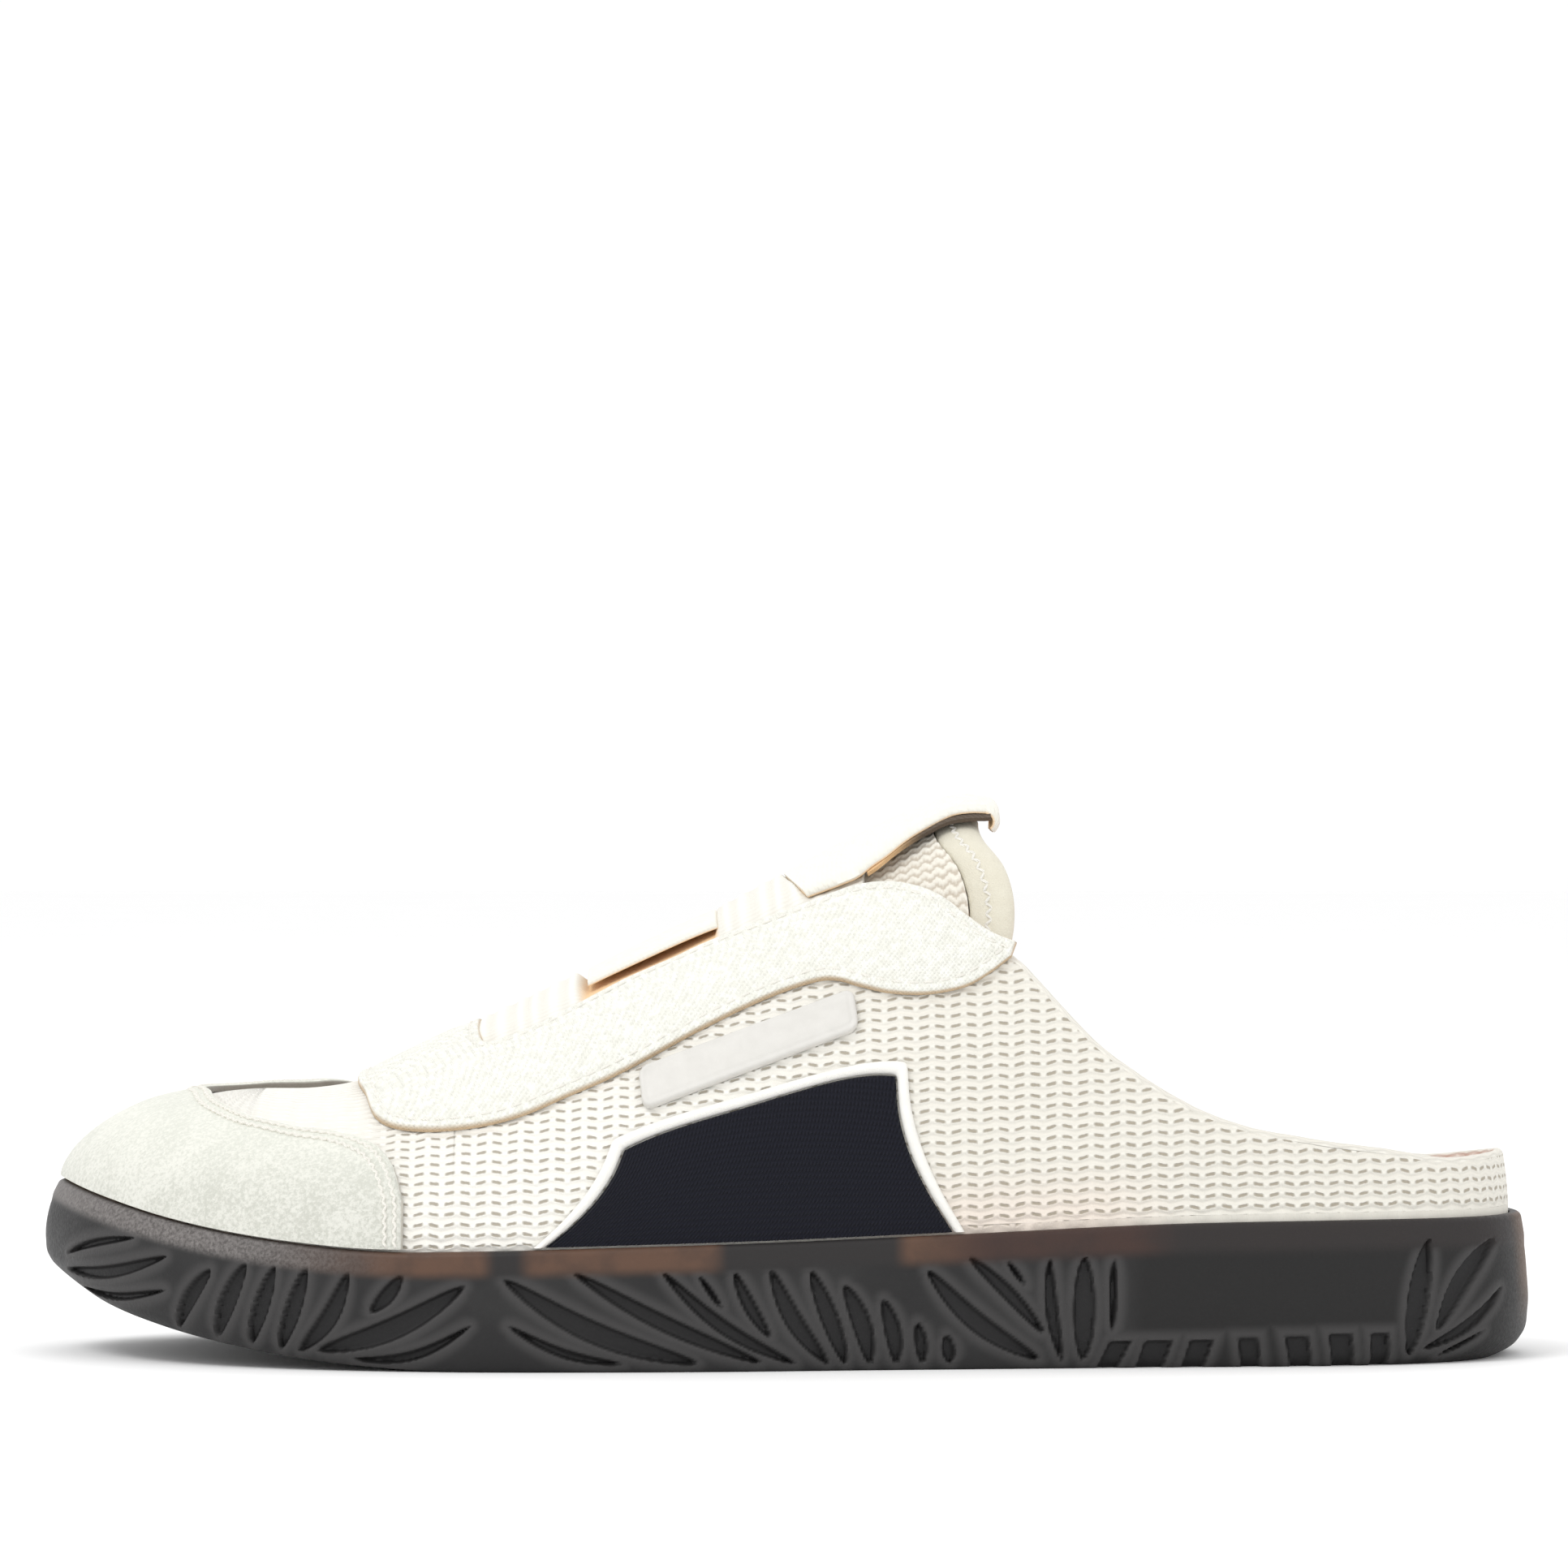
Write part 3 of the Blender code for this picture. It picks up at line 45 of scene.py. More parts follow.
# Sizes of the sole
SOLE_LENGTH = 285 * MM
BALL_WIDTH = 105 * MM
WAIST_WIDTH = 77 * MM
HEEL_WIDTH = 73 * MM
RIM_AT_TOE = 32.8 * MM
RIM_AT_BALL = 22 * MM
RIM_AT_HEEL = 27.2 * MM
TOE_SPRING = 16 * MM
BULGE_AT_TOE = 3.0 * MM
BULGE_AT_HEEL = 1.6 * MM
EDGE_ROUND = 2.0 * MM
HEEL_EDGE_ROUND = 6.5 * MM
RIM_LIP = 1.8 * MM
BED_DEPTH = 4.0 * MM
GROOVE_DEPTH = 1.2 * MM
GROOVE_BEVEL = 0.45 * MM

# Sizes of the last and the upper
TOE_BOX_TOP = 50.2 * MM
INSTEP_TOP = 102 * MM
UPPER_WALL = 2.0 * MM
TOE_CAP_THICK = 1.6 * MM
EYESTAY_THICK = 1.5 * MM
COLLAR_DROP = 2.5 * MM
GORE_THICK = 1.5 * MM
GORE_CROWN = 2.0 * MM
STRAP_THICK = 1.0 * MM
STRAP_LIFT = 0.6 * MM
STRAP_WIDTH = 30 * MM
LOOP_THICK = 1.4 * MM
LOOP_SLANT = 4 * MM
LOOP_LIFT = 2.4 * MM
LOOP_FOLD = 1.6 * MM
LOOP_TURN = math.radians(140)
TONGUE_THICK = 5.0 * MM
BINDING_WIDTH = 8.5 * MM
LABEL_LENGTH = 43 * MM
LABEL_HEIGHT = 7.4 * MM
LABEL_THICK = 1.5 * MM
LABEL_CORNER = 2.0 * MM
PANEL_THICK = 0.8 * MM
EDGING_THICK = 1.4 * MM
EDGING_WIDTH = 1.9 * MM
INSOLE_THICK = 3.6 * MM

# Clearances: between neighbours, and the extra room that the flat faces of two curved pieces need
GAP = 0.3 * MM
FACET_ROOM = 0.3 * MM

OUTER, INNER = -1, 1

# Width of the sole on each side of the long axis, as shares of the width named in the last column
Edge = namedtuple("Edge", "along outer inner width")
OUTLINE = (
    Edge(0.010, 0.030, 0.185, BALL_WIDTH),
    Edge(0.035, 0.160, 0.295, BALL_WIDTH),
    Edge(0.080, 0.290, 0.385, BALL_WIDTH),
    Edge(0.140, 0.392, 0.452, BALL_WIDTH),
    Edge(0.210, 0.462, 0.490, BALL_WIDTH),
    Edge(0.290, 0.496, 0.500, BALL_WIDTH),
    Edge(0.370, 0.500, 0.478, BALL_WIDTH),
    Edge(0.460, 0.486, 0.420, BALL_WIDTH),
    Edge(0.560, 0.610, 0.470, WAIST_WIDTH),
    Edge(0.660, 0.565, 0.435, WAIST_WIDTH),
    Edge(0.780, 0.548, 0.452, HEEL_WIDTH),
    Edge(0.860, 0.520, 0.465, HEEL_WIDTH),
    Edge(0.930, 0.440, 0.405, HEEL_WIDTH),
    Edge(0.970, 0.335, 0.300, HEEL_WIDTH),
    Edge(0.992, 0.190, 0.155, HEEL_WIDTH),
)
TOE_TIP_SIDE = 0.075
HEEL_BACK_SIDE = -0.02

# Height of the rim and the tread, bulge of the wall and round of its lower edge, each between its two named sizes
Section = namedtuple("Section", "along toe_rim heel_rim spring bulge round")
SOLE = (
    Section(0.000, 1.00, 0.00, 1.00, 1.00, 0.25),
    Section(0.040, 0.75, 0.00, 0.68, 0.80, 0.15),
    Section(0.085, 0.48, 0.00, 0.45, 0.55, 0.05),
    Section(0.130, 0.27, 0.00, 0.28, 0.35, 0.00),
    Section(0.185, 0.10, 0.00, 0.13, 0.20, 0.00),
    Section(0.240, 0.00, 0.00, 0.04, 0.15, 0.00),
    Section(0.290, 0.00, 0.03, 0.00, 0.10, 0.00),
    Section(0.400, 0.00, 0.18, 0.00, 0.10, 0.00),
    Section(0.500, 0.00, 0.33, 0.00, 0.10, 0.00),
    Section(0.620, 0.00, 0.58, 0.00, 0.05, 0.00),
    Section(0.750, 0.00, 0.88, 0.00, 0.00, 0.05),
    Section(0.850, 0.00, 0.98, 0.00, 0.00, 0.15),
    Section(0.930, 0.00, 1.00, 0.00, 0.00, 0.45),
    Section(1.000, 0.00, 1.00, 0.00, 0.00, 1.00),
)

# How far the wall stands in from the sole's outline, from the tread up to the rim
Wall = namedtuple("Wall", "height bulge round")
WALL = (
    Wall(0.00, 0.00, 1.00),
    Wall(0.05, 0.00, 0.55),
    Wall(0.14, 0.00, 0.18),
    Wall(0.32, 0.00, 0.00),
    Wall(0.58, 0.10, 0.00),
    Wall(0.82, 0.50, 0.00),
    Wall(1.00, 1.00, 0.00),
)

# Leaf-shaped grooves of the sole's side: both ends as along and height, width and sideways bow in metres
Groove = namedtuple("Groove", "top_along top_height foot_along foot_height width bow")
GROOVES = (
    Groove(0.068, 0.76, 0.020, 0.34, 1.7 * MM, 0.7 * MM),
    Groove(0.092, 0.68, 0.019, 0.17, 2.6 * MM, -1.4 * MM),
    Groove(0.093, 0.37, 0.028, 0.06, 1.7 * MM, -1.2 * MM),
    Groove(0.123, 0.66, 0.100, 0.06, 3.1 * MM, 0.5 * MM),
    Groove(0.146, 0.77, 0.127, 0.06, 3.6 * MM, 0.2 * MM),
    Groove(0.166, 0.79, 0.150, 0.06, 3.3 * MM, -0.1 * MM),
    Groove(0.187, 0.81, 0.170, 0.06, 3.3 * MM, -0.3 * MM),
    Groove(0.215, 0.81, 0.183, 0.07, 3.5 * MM, -1.6 * MM),
    Groove(0.251, 0.81, 0.231, 0.48, 3.0 * MM, -0.3 * MM),
    Groove(0.292, 0.72, 0.196, 0.10, 4.3 * MM, -1.6 * MM),
    Groove(0.296, 0.39, 0.218, 0.06, 2.1 * MM, -2.2 * MM),
    Groove(0.318, 0.77, 0.444, 0.07, 4.3 * MM, 2.3 * MM),
    Groove(0.321, 0.39, 0.396, 0.07, 2.0 * MM, 1.6 * MM),
    Groove(0.363, 0.82, 0.486, 0.07, 3.2 * MM, 1.2 * MM),
    Groove(0.421, 0.81, 0.508, 0.06, 2.8 * MM, 2.0 * MM),
    Groove(0.445, 0.77, 0.460, 0.50, 1.3 * MM, 0.0 * MM),
    Groove(0.468, 0.79, 0.491, 0.27, 2.6 * MM, 0.5 * MM),
    Groove(0.492, 0.80, 0.529, 0.06, 3.5 * MM, 1.3 * MM),
    Groove(0.518, 0.78, 0.541, 0.05, 3.5 * MM, -0.1 * MM),
    Groove(0.540, 0.66, 0.557, 0.05, 3.7 * MM, -0.7 * MM),
    Groove(0.565, 0.54, 0.574, 0.05, 3.2 * MM, -0.5 * MM),
    Groove(0.587, 0.36, 0.591, 0.05, 2.5 * MM, -0.2 * MM),
    Groove(0.606, 0.26, 0.609, 0.05, 2.6 * MM, 0.0 * MM),
    Groove(0.594, 0.75, 0.667, 0.07, 3.8 * MM, 1.8 * MM),
    Groove(0.621, 0.84, 0.670, 0.26, 2.7 * MM, -0.5 * MM),
    Groove(0.646, 0.80, 0.658, 0.61, 1.2 * MM, 0.0 * MM),
    Groove(0.674, 0.80, 0.682, 0.06, 2.5 * MM, 0.8 * MM),
    Groove(0.697, 0.80, 0.696, 0.06, 4.3 * MM, 0.0 * MM),
    Groove(0.716, 0.79, 0.715, 0.26, 1.6 * MM, 0.0 * MM),
    Groove(0.926, 0.86, 0.913, 0.07, 4.5 * MM, 0.5 * MM),
    Groove(0.973, 0.85, 0.931, 0.24, 4.5 * MM, 1.8 * MM),
    Groove(0.976, 0.51, 0.923, 0.11, 2.6 * MM, -1.2 * MM),
    Groove(0.964, 0.22, 0.934, 0.06, 1.2 * MM, -0.2 * MM),
)

# Notches under the plain field of the sole's side: both sides along, lower and upper end, lean of the foot
Notch = namedtuple("Notch", "front back foot top lean")
NOTCHES = (
    Notch(0.713, 0.728, 0.06, 0.20, -0.006),
    Notch(0.736, 0.755, 0.06, 0.20, -0.004),
    Notch(0.766, 0.782, 0.06, 0.20, -0.004),
    Notch(0.797, 0.811, 0.06, 0.21, 0.002),
    Notch(0.828, 0.844, 0.06, 0.22, 0.003),
    Notch(0.857, 0.873, 0.06, 0.23, 0.003),
    Notch(0.885, 0.898, 0.06, 0.23, 0.002),
)

# Ridge of the last: its height between toe box and instep, and its side place as a share of the ball width
Ridge = namedtuple("Ridge", "along height side")
RIDGE = (
    Ridge(0.149, 0.000, 0.080),
    Ridge(0.184, 0.004, 0.078),
    Ridge(0.209, 0.026, 0.075),
    Ridge(0.237, 0.080, 0.072),
    Ridge(0.261, 0.143, 0.070),
    Ridge(0.294, 0.228, 0.065),
    Ridge(0.328, 0.315, 0.060),
    Ridge(0.370, 0.425, 0.055),
    Ridge(0.416, 0.538, 0.050),
    Ridge(0.458, 0.652, 0.045),
    Ridge(0.502, 0.780, 0.040),
    Ridge(0.546, 0.897, 0.035),
    Ridge(0.590, 1.000, 0.030),
    Ridge(0.640, 1.045, 0.022),
    Ridge(0.763, 1.060, 0.000),
)
RIDGE_FRONT = RIDGE[0].along
RIDGE_BACK = RIDGE[-1].along

# Exponents of the last's round: how full its sections are across, and how upright
Full = namedtuple("Full", "along across upright side_round")
FULLNESS = (
    Full(0.00, 1.85, 1.60, 0.2 * MM),
    Full(0.15, 2.15, 1.70, 0.9 * MM),
    Full(0.30, 2.10, 1.75, 1.4 * MM),
    Full(0.45, 1.95, 1.70, 1.4 * MM),
    Full(0.70, 1.90, 1.70, 1.0 * MM),
    Full(1.00, 2.00, 1.70, 0.6 * MM),
)

Line = namedtuple("Line", "along rise")
# Top edge of the shell: the throat's side, then the collar down to the back of the heel
TOPLINE = (
    Line(0.286, 0.944),
    Line(0.290, 0.864),
    Line(0.304, 0.799),
    Line(0.342, 0.799),
    Line(0.372, 0.804),
    Line(0.401, 0.819),
    Line(0.431, 0.846),
    Line(0.461, 0.846),
    Line(0.490, 0.839),
    Line(0.520, 0.826),
    Line(0.565, 0.822),
    Line(0.585, 0.789),
    Line(0.603, 0.754),
    Line(0.622, 0.696),
    Line(0.636, 0.656),
    Line(0.653, 0.629),
    Line(0.667, 0.574),
    Line(0.684, 0.504),
    Line(0.706, 0.421),
    Line(0.727, 0.362),
    Line(0.749, 0.308),
    Line(0.770, 0.265),
    Line(0.792, 0.232),
    Line(0.814, 0.208),
    Line(0.835, 0.194),
    Line(0.856, 0.180),
    Line(0.899, 0.158),
    Line(0.942, 0.133),
    Line(0.975, 0.139),
    Line(0.990, 0.143),
)
THROAT_FRONT = 0.284

# Edge of the toe cap on the outer side, from the rim to the front of its opening, and on the inner side
CAP_OUTER = (
    Line(0.000, 0.935),
    Line(0.050, 0.925),
    Line(0.100, 0.860),
    Line(0.149, 0.785),
    Line(0.182, 0.730),
    Line(0.207, 0.690),
    Line(0.225, 0.625),
    Line(0.238, 0.540),
    Line(0.247, 0.415),
    Line(0.252, 0.265),
)
CAP_INNER = (
    Line(0.000, 0.935),
    Line(0.050, 0.945),
    Line(0.100, 0.960),
    Line(0.149, 0.975),
    Line(0.177, 0.980),
    Line(0.195, 0.970),
    Line(0.207, 0.925),
    Line(0.216, 0.850),
    Line(0.227, 0.710),
    Line(0.237, 0.560),
    Line(0.244, 0.420),
    Line(0.248, 0.300),
)

# The eyestay's outer edge, from the middle of the vamp to its rear tip, and its inner edge around the throat
EYESTAY_OUTER = (
    Line(0.2144, 1.000),
    Line(0.2149, 0.970),
    Line(0.2221, 0.890),
    Line(0.2299, 0.758),
    Line(0.2445, 0.663),
    Line(0.2680, 0.593),
    Line(0.2982, 0.554),
    Line(0.3274, 0.550),
    Line(0.3567, 0.575),
    Line(0.3864, 0.600),
    Line(0.4317, 0.654),
    Line(0.4610, 0.678),
    Line(0.4902, 0.689),
    Line(0.5195, 0.687),
    Line(0.5346, 0.672),
    Line(0.5497, 0.638),
    Line(0.5702, 0.598),
    Line(0.5936, 0.575),
    Line(0.6180, 0.580),
    Line(0.6355, 0.608),
    Line(0.6502, 0.642),
)
EYESTAY_INNER = (
    Line(0.2971, 1.000),
    Line(0.2981, 0.965),
    Line(0.3020, 0.905),
    Line(0.3128, 0.880),
    Line(0.3373, 0.879),
    Line(0.3587, 0.888),
    Line(0.3800, 0.902),
    Line(0.3961, 0.912),
    Line(0.4124, 0.915),
    Line(0.4287, 0.915),
    Line(0.4461, 0.917),
    Line(0.4667, 0.912),
    Line(0.4882, 0.904),
    Line(0.5096, 0.898),
    Line(0.5311, 0.893),
    Line(0.5472, 0.889),
    Line(0.5650, 0.873),
    Line(0.5857, 0.840),
    Line(0.6034, 0.802),
    Line(0.6216, 0.745),
    Line(0.6369, 0.703),
    Line(0.6537, 0.673),
)

# Rear edge of the tongue, by its angle around the section from the outer side, and the tongue's front end
TongueEdge = namedtuple("TongueEdge", "angle along")
TONGUE_EDGE = (
    TongueEdge(34, 0.630),
    TongueEdge(41, 0.642),
    TongueEdge(48, 0.651),
    TongueEdge(55, 0.653),
    TongueEdge(62, 0.648),
    TongueEdge(72, 0.634),
    TongueEdge(90, 0.630),
    TongueEdge(108, 0.634),
    TongueEdge(118, 0.648),
    TongueEdge(125, 0.653),
    TongueEdge(132, 0.651),
    TongueEdge(139, 0.642),
    TongueEdge(146, 0.630),
)
TONGUE_FRONT = 0.345
TONGUE_RISE_FROM = 0.560
TONGUE_RISE_TO = 0.640

GORE_BACK = 0.552
STRAP_FRONT = 0.368
STRAP_BACK = 0.452

# The pull loop's way over the tongue: how far it stands off the last's surface, as a share of LOOP_LIFT, and its width
Rise = namedtuple("Rise", "along lift width")
LOOP = (
    Rise(0.502, 0.00, 33.0 * MM),
    Rise(0.528, 0.15, 34.0 * MM),
    Rise(0.541, 0.22, 33.5 * MM),
    Rise(0.550, 0.24, 31.0 * MM),
    Rise(0.562, 0.26, 28.5 * MM),
    Rise(0.575, 0.30, 24.5 * MM),
    Rise(0.596, 0.45, 19.5 * MM),
    Rise(0.612, 0.80, 17.5 * MM),
    Rise(0.626, 0.75, 16.5 * MM),
    Rise(0.635, 0.45, 15.0 * MM),
)

LABEL_ALONG = 0.477
LABEL_RISE = 0.560
LABEL_TILT = math.radians(20.5)

# The saddle panel: its front and rear edge at each rise
Saddle = namedtuple("Saddle", "rise front back")
SADDLE = (
    Saddle(0.000, 0.345, 0.610),
    Saddle(0.100, 0.363, 0.594),
    Saddle(0.200, 0.378, 0.582),
    Saddle(0.300, 0.389, 0.575),
    Saddle(0.400, 0.396, 0.573),
)
SADDLE_TOP_SLOPE = 0.055
SADDLE_TOP_ROUND = 0.035


def x_at(along):
    return (along - 0.5) * SOLE_LENGTH


def along_at(x):
    return x / SOLE_LENGTH + 0.5


def norm(vectors):
    return np.linalg.norm(vectors, axis=-1, keepdims=True)


def unit(vectors):
    return vectors / np.maximum(norm(vectors), 1e-12)


def smooth(low, high, value):
    """0 below low, 1 above high and an even ease between them."""
    t = np.clip((value - low) / (high - low), 0.0, 1.0)
    return t * t * (3 - 2 * t)


def between(low, high, share):
    return low + (high - low) * share


def curve(rows, column, key="along"):
    """A smooth curve through one column of a table, as a function of the key column."""
    keys = np.array([getattr(row, key) for row in rows], dtype=float)
    values = np.array([getattr(row, column) for row in rows], dtype=float)
    slopes = np.gradient(values, keys)

    def read(at):
        at = np.clip(np.asarray(at, dtype=float), keys[0], keys[-1])
        i = np.clip(np.searchsorted(keys, at, side="right") - 1, 0, len(keys) - 2)
        span = keys[i + 1] - keys[i]
        t = (at - keys[i]) / span
        return (
            values[i] * (2 * t**3 - 3 * t**2 + 1)
            + values[i + 1] * (3 * t**2 - 2 * t**3)
            + span * slopes[i] * (t**3 - 2 * t**2 + t)
            + span * slopes[i + 1] * (t**3 - t**2)
        )

    return read


toe_rim, heel_rim = curve(SOLE, "toe_rim"), curve(SOLE, "heel_rim")
spring, bulge_share, round_share = curve(SOLE, "spring"), curve(SOLE, "bulge"), curve(SOLE, "round")
ridge_share, ridge_side = curve(RIDGE, "height"), curve(RIDGE, "side")
across, upright = curve(FULLNESS, "across"), curve(FULLNESS, "upright")
side_round = curve(FULLNESS, "side_round")
wall_bulge, wall_round = curve(WALL, "bulge", "height"), curve(WALL, "round", "height")


def rim_height(along):
    at_toe = (RIM_AT_TOE - RIM_AT_BALL) * toe_rim(along)
    at_heel = (RIM_AT_HEEL - RIM_AT_BALL) * heel_rim(along)
    return RIM_AT_BALL + at_toe + at_heel


def tread_height(along):
    return TOE_SPRING * np.maximum(spring(along), 0.0)


def bulge(along):
    return between(BULGE_AT_HEEL, BULGE_AT_TOE, bulge_share(along))


def edge_round(along):
    return between(EDGE_ROUND, HEEL_EDGE_ROUND, round_share(along))


def ridge_height(along):
    return between(TOE_BOX_TOP, INSTEP_TOP, ridge_share(along))


class Outline:
    """A closed loop around the sole, read by its share of the way round: back of heel, outer side, toe, inner side."""

    def __init__(self, points):
        self.points = points
        count = len(points)
        self.shares = np.arange(count + 1) / count
        self.closed = np.vstack([points, points[:1]])
        self.tip = int(np.argmin(points[:, 0]))
        self.back = int(np.argmax(points[:, 0]))
        self.length = float(np.sum(norm(np.diff(self.closed, axis=0))))
        back = self.back if self.back < count / 2 else self.back - count
        self.orders = {
            OUTER: np.arange(self.tip, back - 1, -1),
            INNER: np.arange(self.tip, back + count + 1),
        }

    def at(self, share):
        share = np.asarray(share) % 1.0
        return np.stack([np.interp(share, self.shares, self.closed[:, axis]) for axis in (0, 1)], -1)

    def share_of(self, side, x):
        """The share where one side of the loop passes a place along the shoe."""
        order = self.orders[side]
        xs = np.maximum.accumulate(self.points[order % len(self.points), 0])
        return np.interp(x, xs, order / len(self.points)) % 1.0


OUTLINE_SAMPLES = 720
OUTLINE_SMOOTHING = 7
KNOT_STEPS = 40
RUN_SAMPLES = 3


def sole_outline():
    """The sole's outline: a smooth loop through the table's points, sampled evenly."""
    outer = [(x_at(row.along), -row.outer * row.width) for row in OUTLINE]
    inner = [(x_at(row.along), row.inner * row.width) for row in OUTLINE]
    tip = (x_at(0), TOE_TIP_SIDE * BALL_WIDTH)
    back = (x_at(1), HEEL_BACK_SIDE * HEEL_WIDTH)
    knots = np.array([back, *reversed(outer), tip, *inner])
    ahead, behind = np.roll(knots, -1, axis=0), np.roll(knots, 1, axis=0)
    spans = np.linalg.norm(ahead - knots, axis=1)
    slopes = (ahead - behind) / (spans + np.roll(spans, 1))[:, None]
    steps = np.linspace(0, 1, KNOT_STEPS, endpoint=False)[:, None]
    pieces = []
    for i, knot in enumerate(knots):
        following, span = ahead[i], spans[i]
        slope, next_slope = slopes[i], slopes[(i + 1) % len(knots)]
        pieces.append(
            knot * (2 * steps**3 - 3 * steps**2 + 1)
            + following * (3 * steps**2 - 2 * steps**3)
            + span * slope * (steps**3 - 2 * steps**2 + steps)
            + span * next_slope * (steps**3 - steps**2)
        )
    loop = np.vstack(pieces)
    closed = np.vstack([loop, loop[:1]])
    lengths = np.concatenate([[0], np.cumsum(np.linalg.norm(np.diff(closed, axis=0), axis=1))])
    even = np.linspace(0, lengths[-1], OUTLINE_SAMPLES, endpoint=False)
    points = np.column_stack([np.interp(even, lengths, closed[:, axis]) for axis in (0, 1)])
    for _ in range(OUTLINE_SMOOTHING):
        points = (np.roll(points, 1, axis=0) + 2 * points + np.roll(points, -1, axis=0)) / 4
    size = np.array([SOLE_LENGTH, BALL_WIDTH])
    low, high = points.min(axis=0), points.max(axis=0)
    return Outline((points - (low + high) / 2) * size / (high - low))


def inset(outline, distance):
    """The loop that runs inside an outline at a distance, which may change along the shoe."""
    run = unit(np.roll(outline.points, -RUN_SAMPLES, axis=0) - np.roll(outline.points, RUN_SAMPLES, axis=0))
    inward = np.column_stack([run[:, 1], -run[:, 0]])
    return Outline(outline.points + inward * distance(along_at(outline.points[:, 0]))[:, None])


SOLE_LOOP = sole_outline()
RIM_LOOP = inset(SOLE_LOOP, bulge)
BED_LOOP = inset(SOLE_LOOP, lambda along: bulge(along) + RIM_LIP)
FEATHER_LOOP = inset(SOLE_LOOP, lambda along: bulge(along) + RIM_LIP + GAP)
INSOLE_LOOP = inset(SOLE_LOOP, lambda along: bulge(along) + RIM_LIP + 2 * GAP + UPPER_WALL)


def sole_along(share):
    return along_at(SOLE_LOOP.at(share)[..., 0])


def rise_angle(along, rise):
    """The angle around the section, 0 at the rim and 90 degrees on the ridge, of a rise."""
    return np.arcsin(np.clip(rise, 0.0, 1.0) ** (upright(along) / 2))


def last_point(share, angle):
    """Points of the last's surface over shares of the feather line."""
    share, angle = np.broadcast_arrays(share, np.maximum(angle, 0.0))
    foot = FEATHER_LOOP.at(share)
    along = along_at(foot[..., 0])
    ridge_along = np.clip(along, RIDGE_FRONT, RIDGE_BACK)
    ridge = np.stack([x_at(ridge_along), ridge_side(ridge_along) * BALL_WIDTH], -1)
    low, high = rim_height(sole_along(share)), ridge_height(ridge_along)
    rise = np.sin(angle) ** (2 / upright(along))
    reach = np.maximum(np.cos(angle), 0.0) ** (2 / across(along))
    span = foot - ridge
    out = side_round(along) * np.sin(2 * angle) * np.cos(angle)
    flat = ridge + span * reach[..., None] + span / np.maximum(norm(span), MM) * out[..., None]
    return np.concatenate([flat, (low + (high - low) * rise)[..., None]], -1)


def side_share(side, along):
    return FEATHER_LOOP.share_of(side, x_at(along))


def section_point(along, turn):
    """Points of the last by place along and angle around, 0 on the outer rim and 180 degrees on the inner."""
    along, turn = np.broadcast_arrays(along, turn)
    share = np.where(turn <= math.pi / 2, side_share(OUTER, along), side_share(INNER, along))
    return last_point(share, np.minimum(turn, math.pi - turn))


def lifted(surface, first, second, steps, out):
    """Points at a distance off a surface, along its outward normal."""
    point = surface(first, second)
    one = surface(first + steps[0], second) - surface(first - steps[0], second)
    two = surface(first, second + steps[1]) - surface(first, second - steps[1])
    normal = unit(np.cross(one, two))
    limit = x_at(RIDGE_BACK)
    core = np.stack([np.where(abs(point[..., 0]) > limit, np.sign(point[..., 0]) * limit, point[..., 0]),
                     np.zeros(point.shape[:-1]), np.full(point.shape[:-1], RIM_AT_BALL)], -1)
    away = np.where(np.sum(normal * (point - core), -1) < 0, -1.0, 1.0)
    return point + normal * (away * out)[..., None]


SHARE_STEP = 0.004
ALONG_STEP = 0.004
TURN_STEP = math.radians(2)


def off_last(share, angle, out):
    share, angle = np.broadcast_arrays(share, np.maximum(angle, TURN_STEP))
    return lifted(last_point, share, angle, (SHARE_STEP, TURN_STEP / 2), out)


def off_section(along, turn, out):
    along, turn = np.broadcast_arrays(np.asarray(along, float), np.asarray(turn, float))
    return lifted(section_point, along, turn, (ALONG_STEP, TURN_STEP), out)


topline = curve(TOPLINE, "rise")
COLLAR_FROM = 0.66
COLLAR_BLEND = 0.10
SIDE_BLEND = 14


def shell_top(share):
    """The angle of the shell's top edge: the ridge ahead of the throat, and lower on the collar's inner side."""
    share = np.asarray(share) % 1.0
    along = along_at(FEATHER_LOOP.at(share)[..., 0])
    inner = np.clip((share - 0.5) * SIDE_BLEND, 0.0, 1.0) * np.clip((1.0 - share) * SIDE_BLEND, 0.0, 1.0)
    collar = np.clip((along - COLLAR_FROM) / COLLAR_BLEND, 0.0, 1.0)
    section = ridge_height(along) - rim_height(along)
    edge = rise_angle(along, topline(along) - inner * collar * COLLAR_DROP / section)
    return np.where(along < THROAT_FRONT, math.pi / 2, edge)


def wall_point(share, height, depth):
    """Points of the sole's side wall, at a share of the wall's own height, cut in by a depth."""
    along = sole_along(share)
    into = bulge(along) * wall_bulge(height) + edge_round(along) * wall_round(height) + depth
    here = SOLE_LOOP.at(share)
    run = unit(SOLE_LOOP.at(share + SHARE_STEP) - SOLE_LOOP.at(share - SHARE_STEP))
    z = between(tread_height(along), rim_height(along), height)
    return np.stack([here[..., 0] + run[..., 1] * into, here[..., 1] - run[..., 0] * into, z], -1)


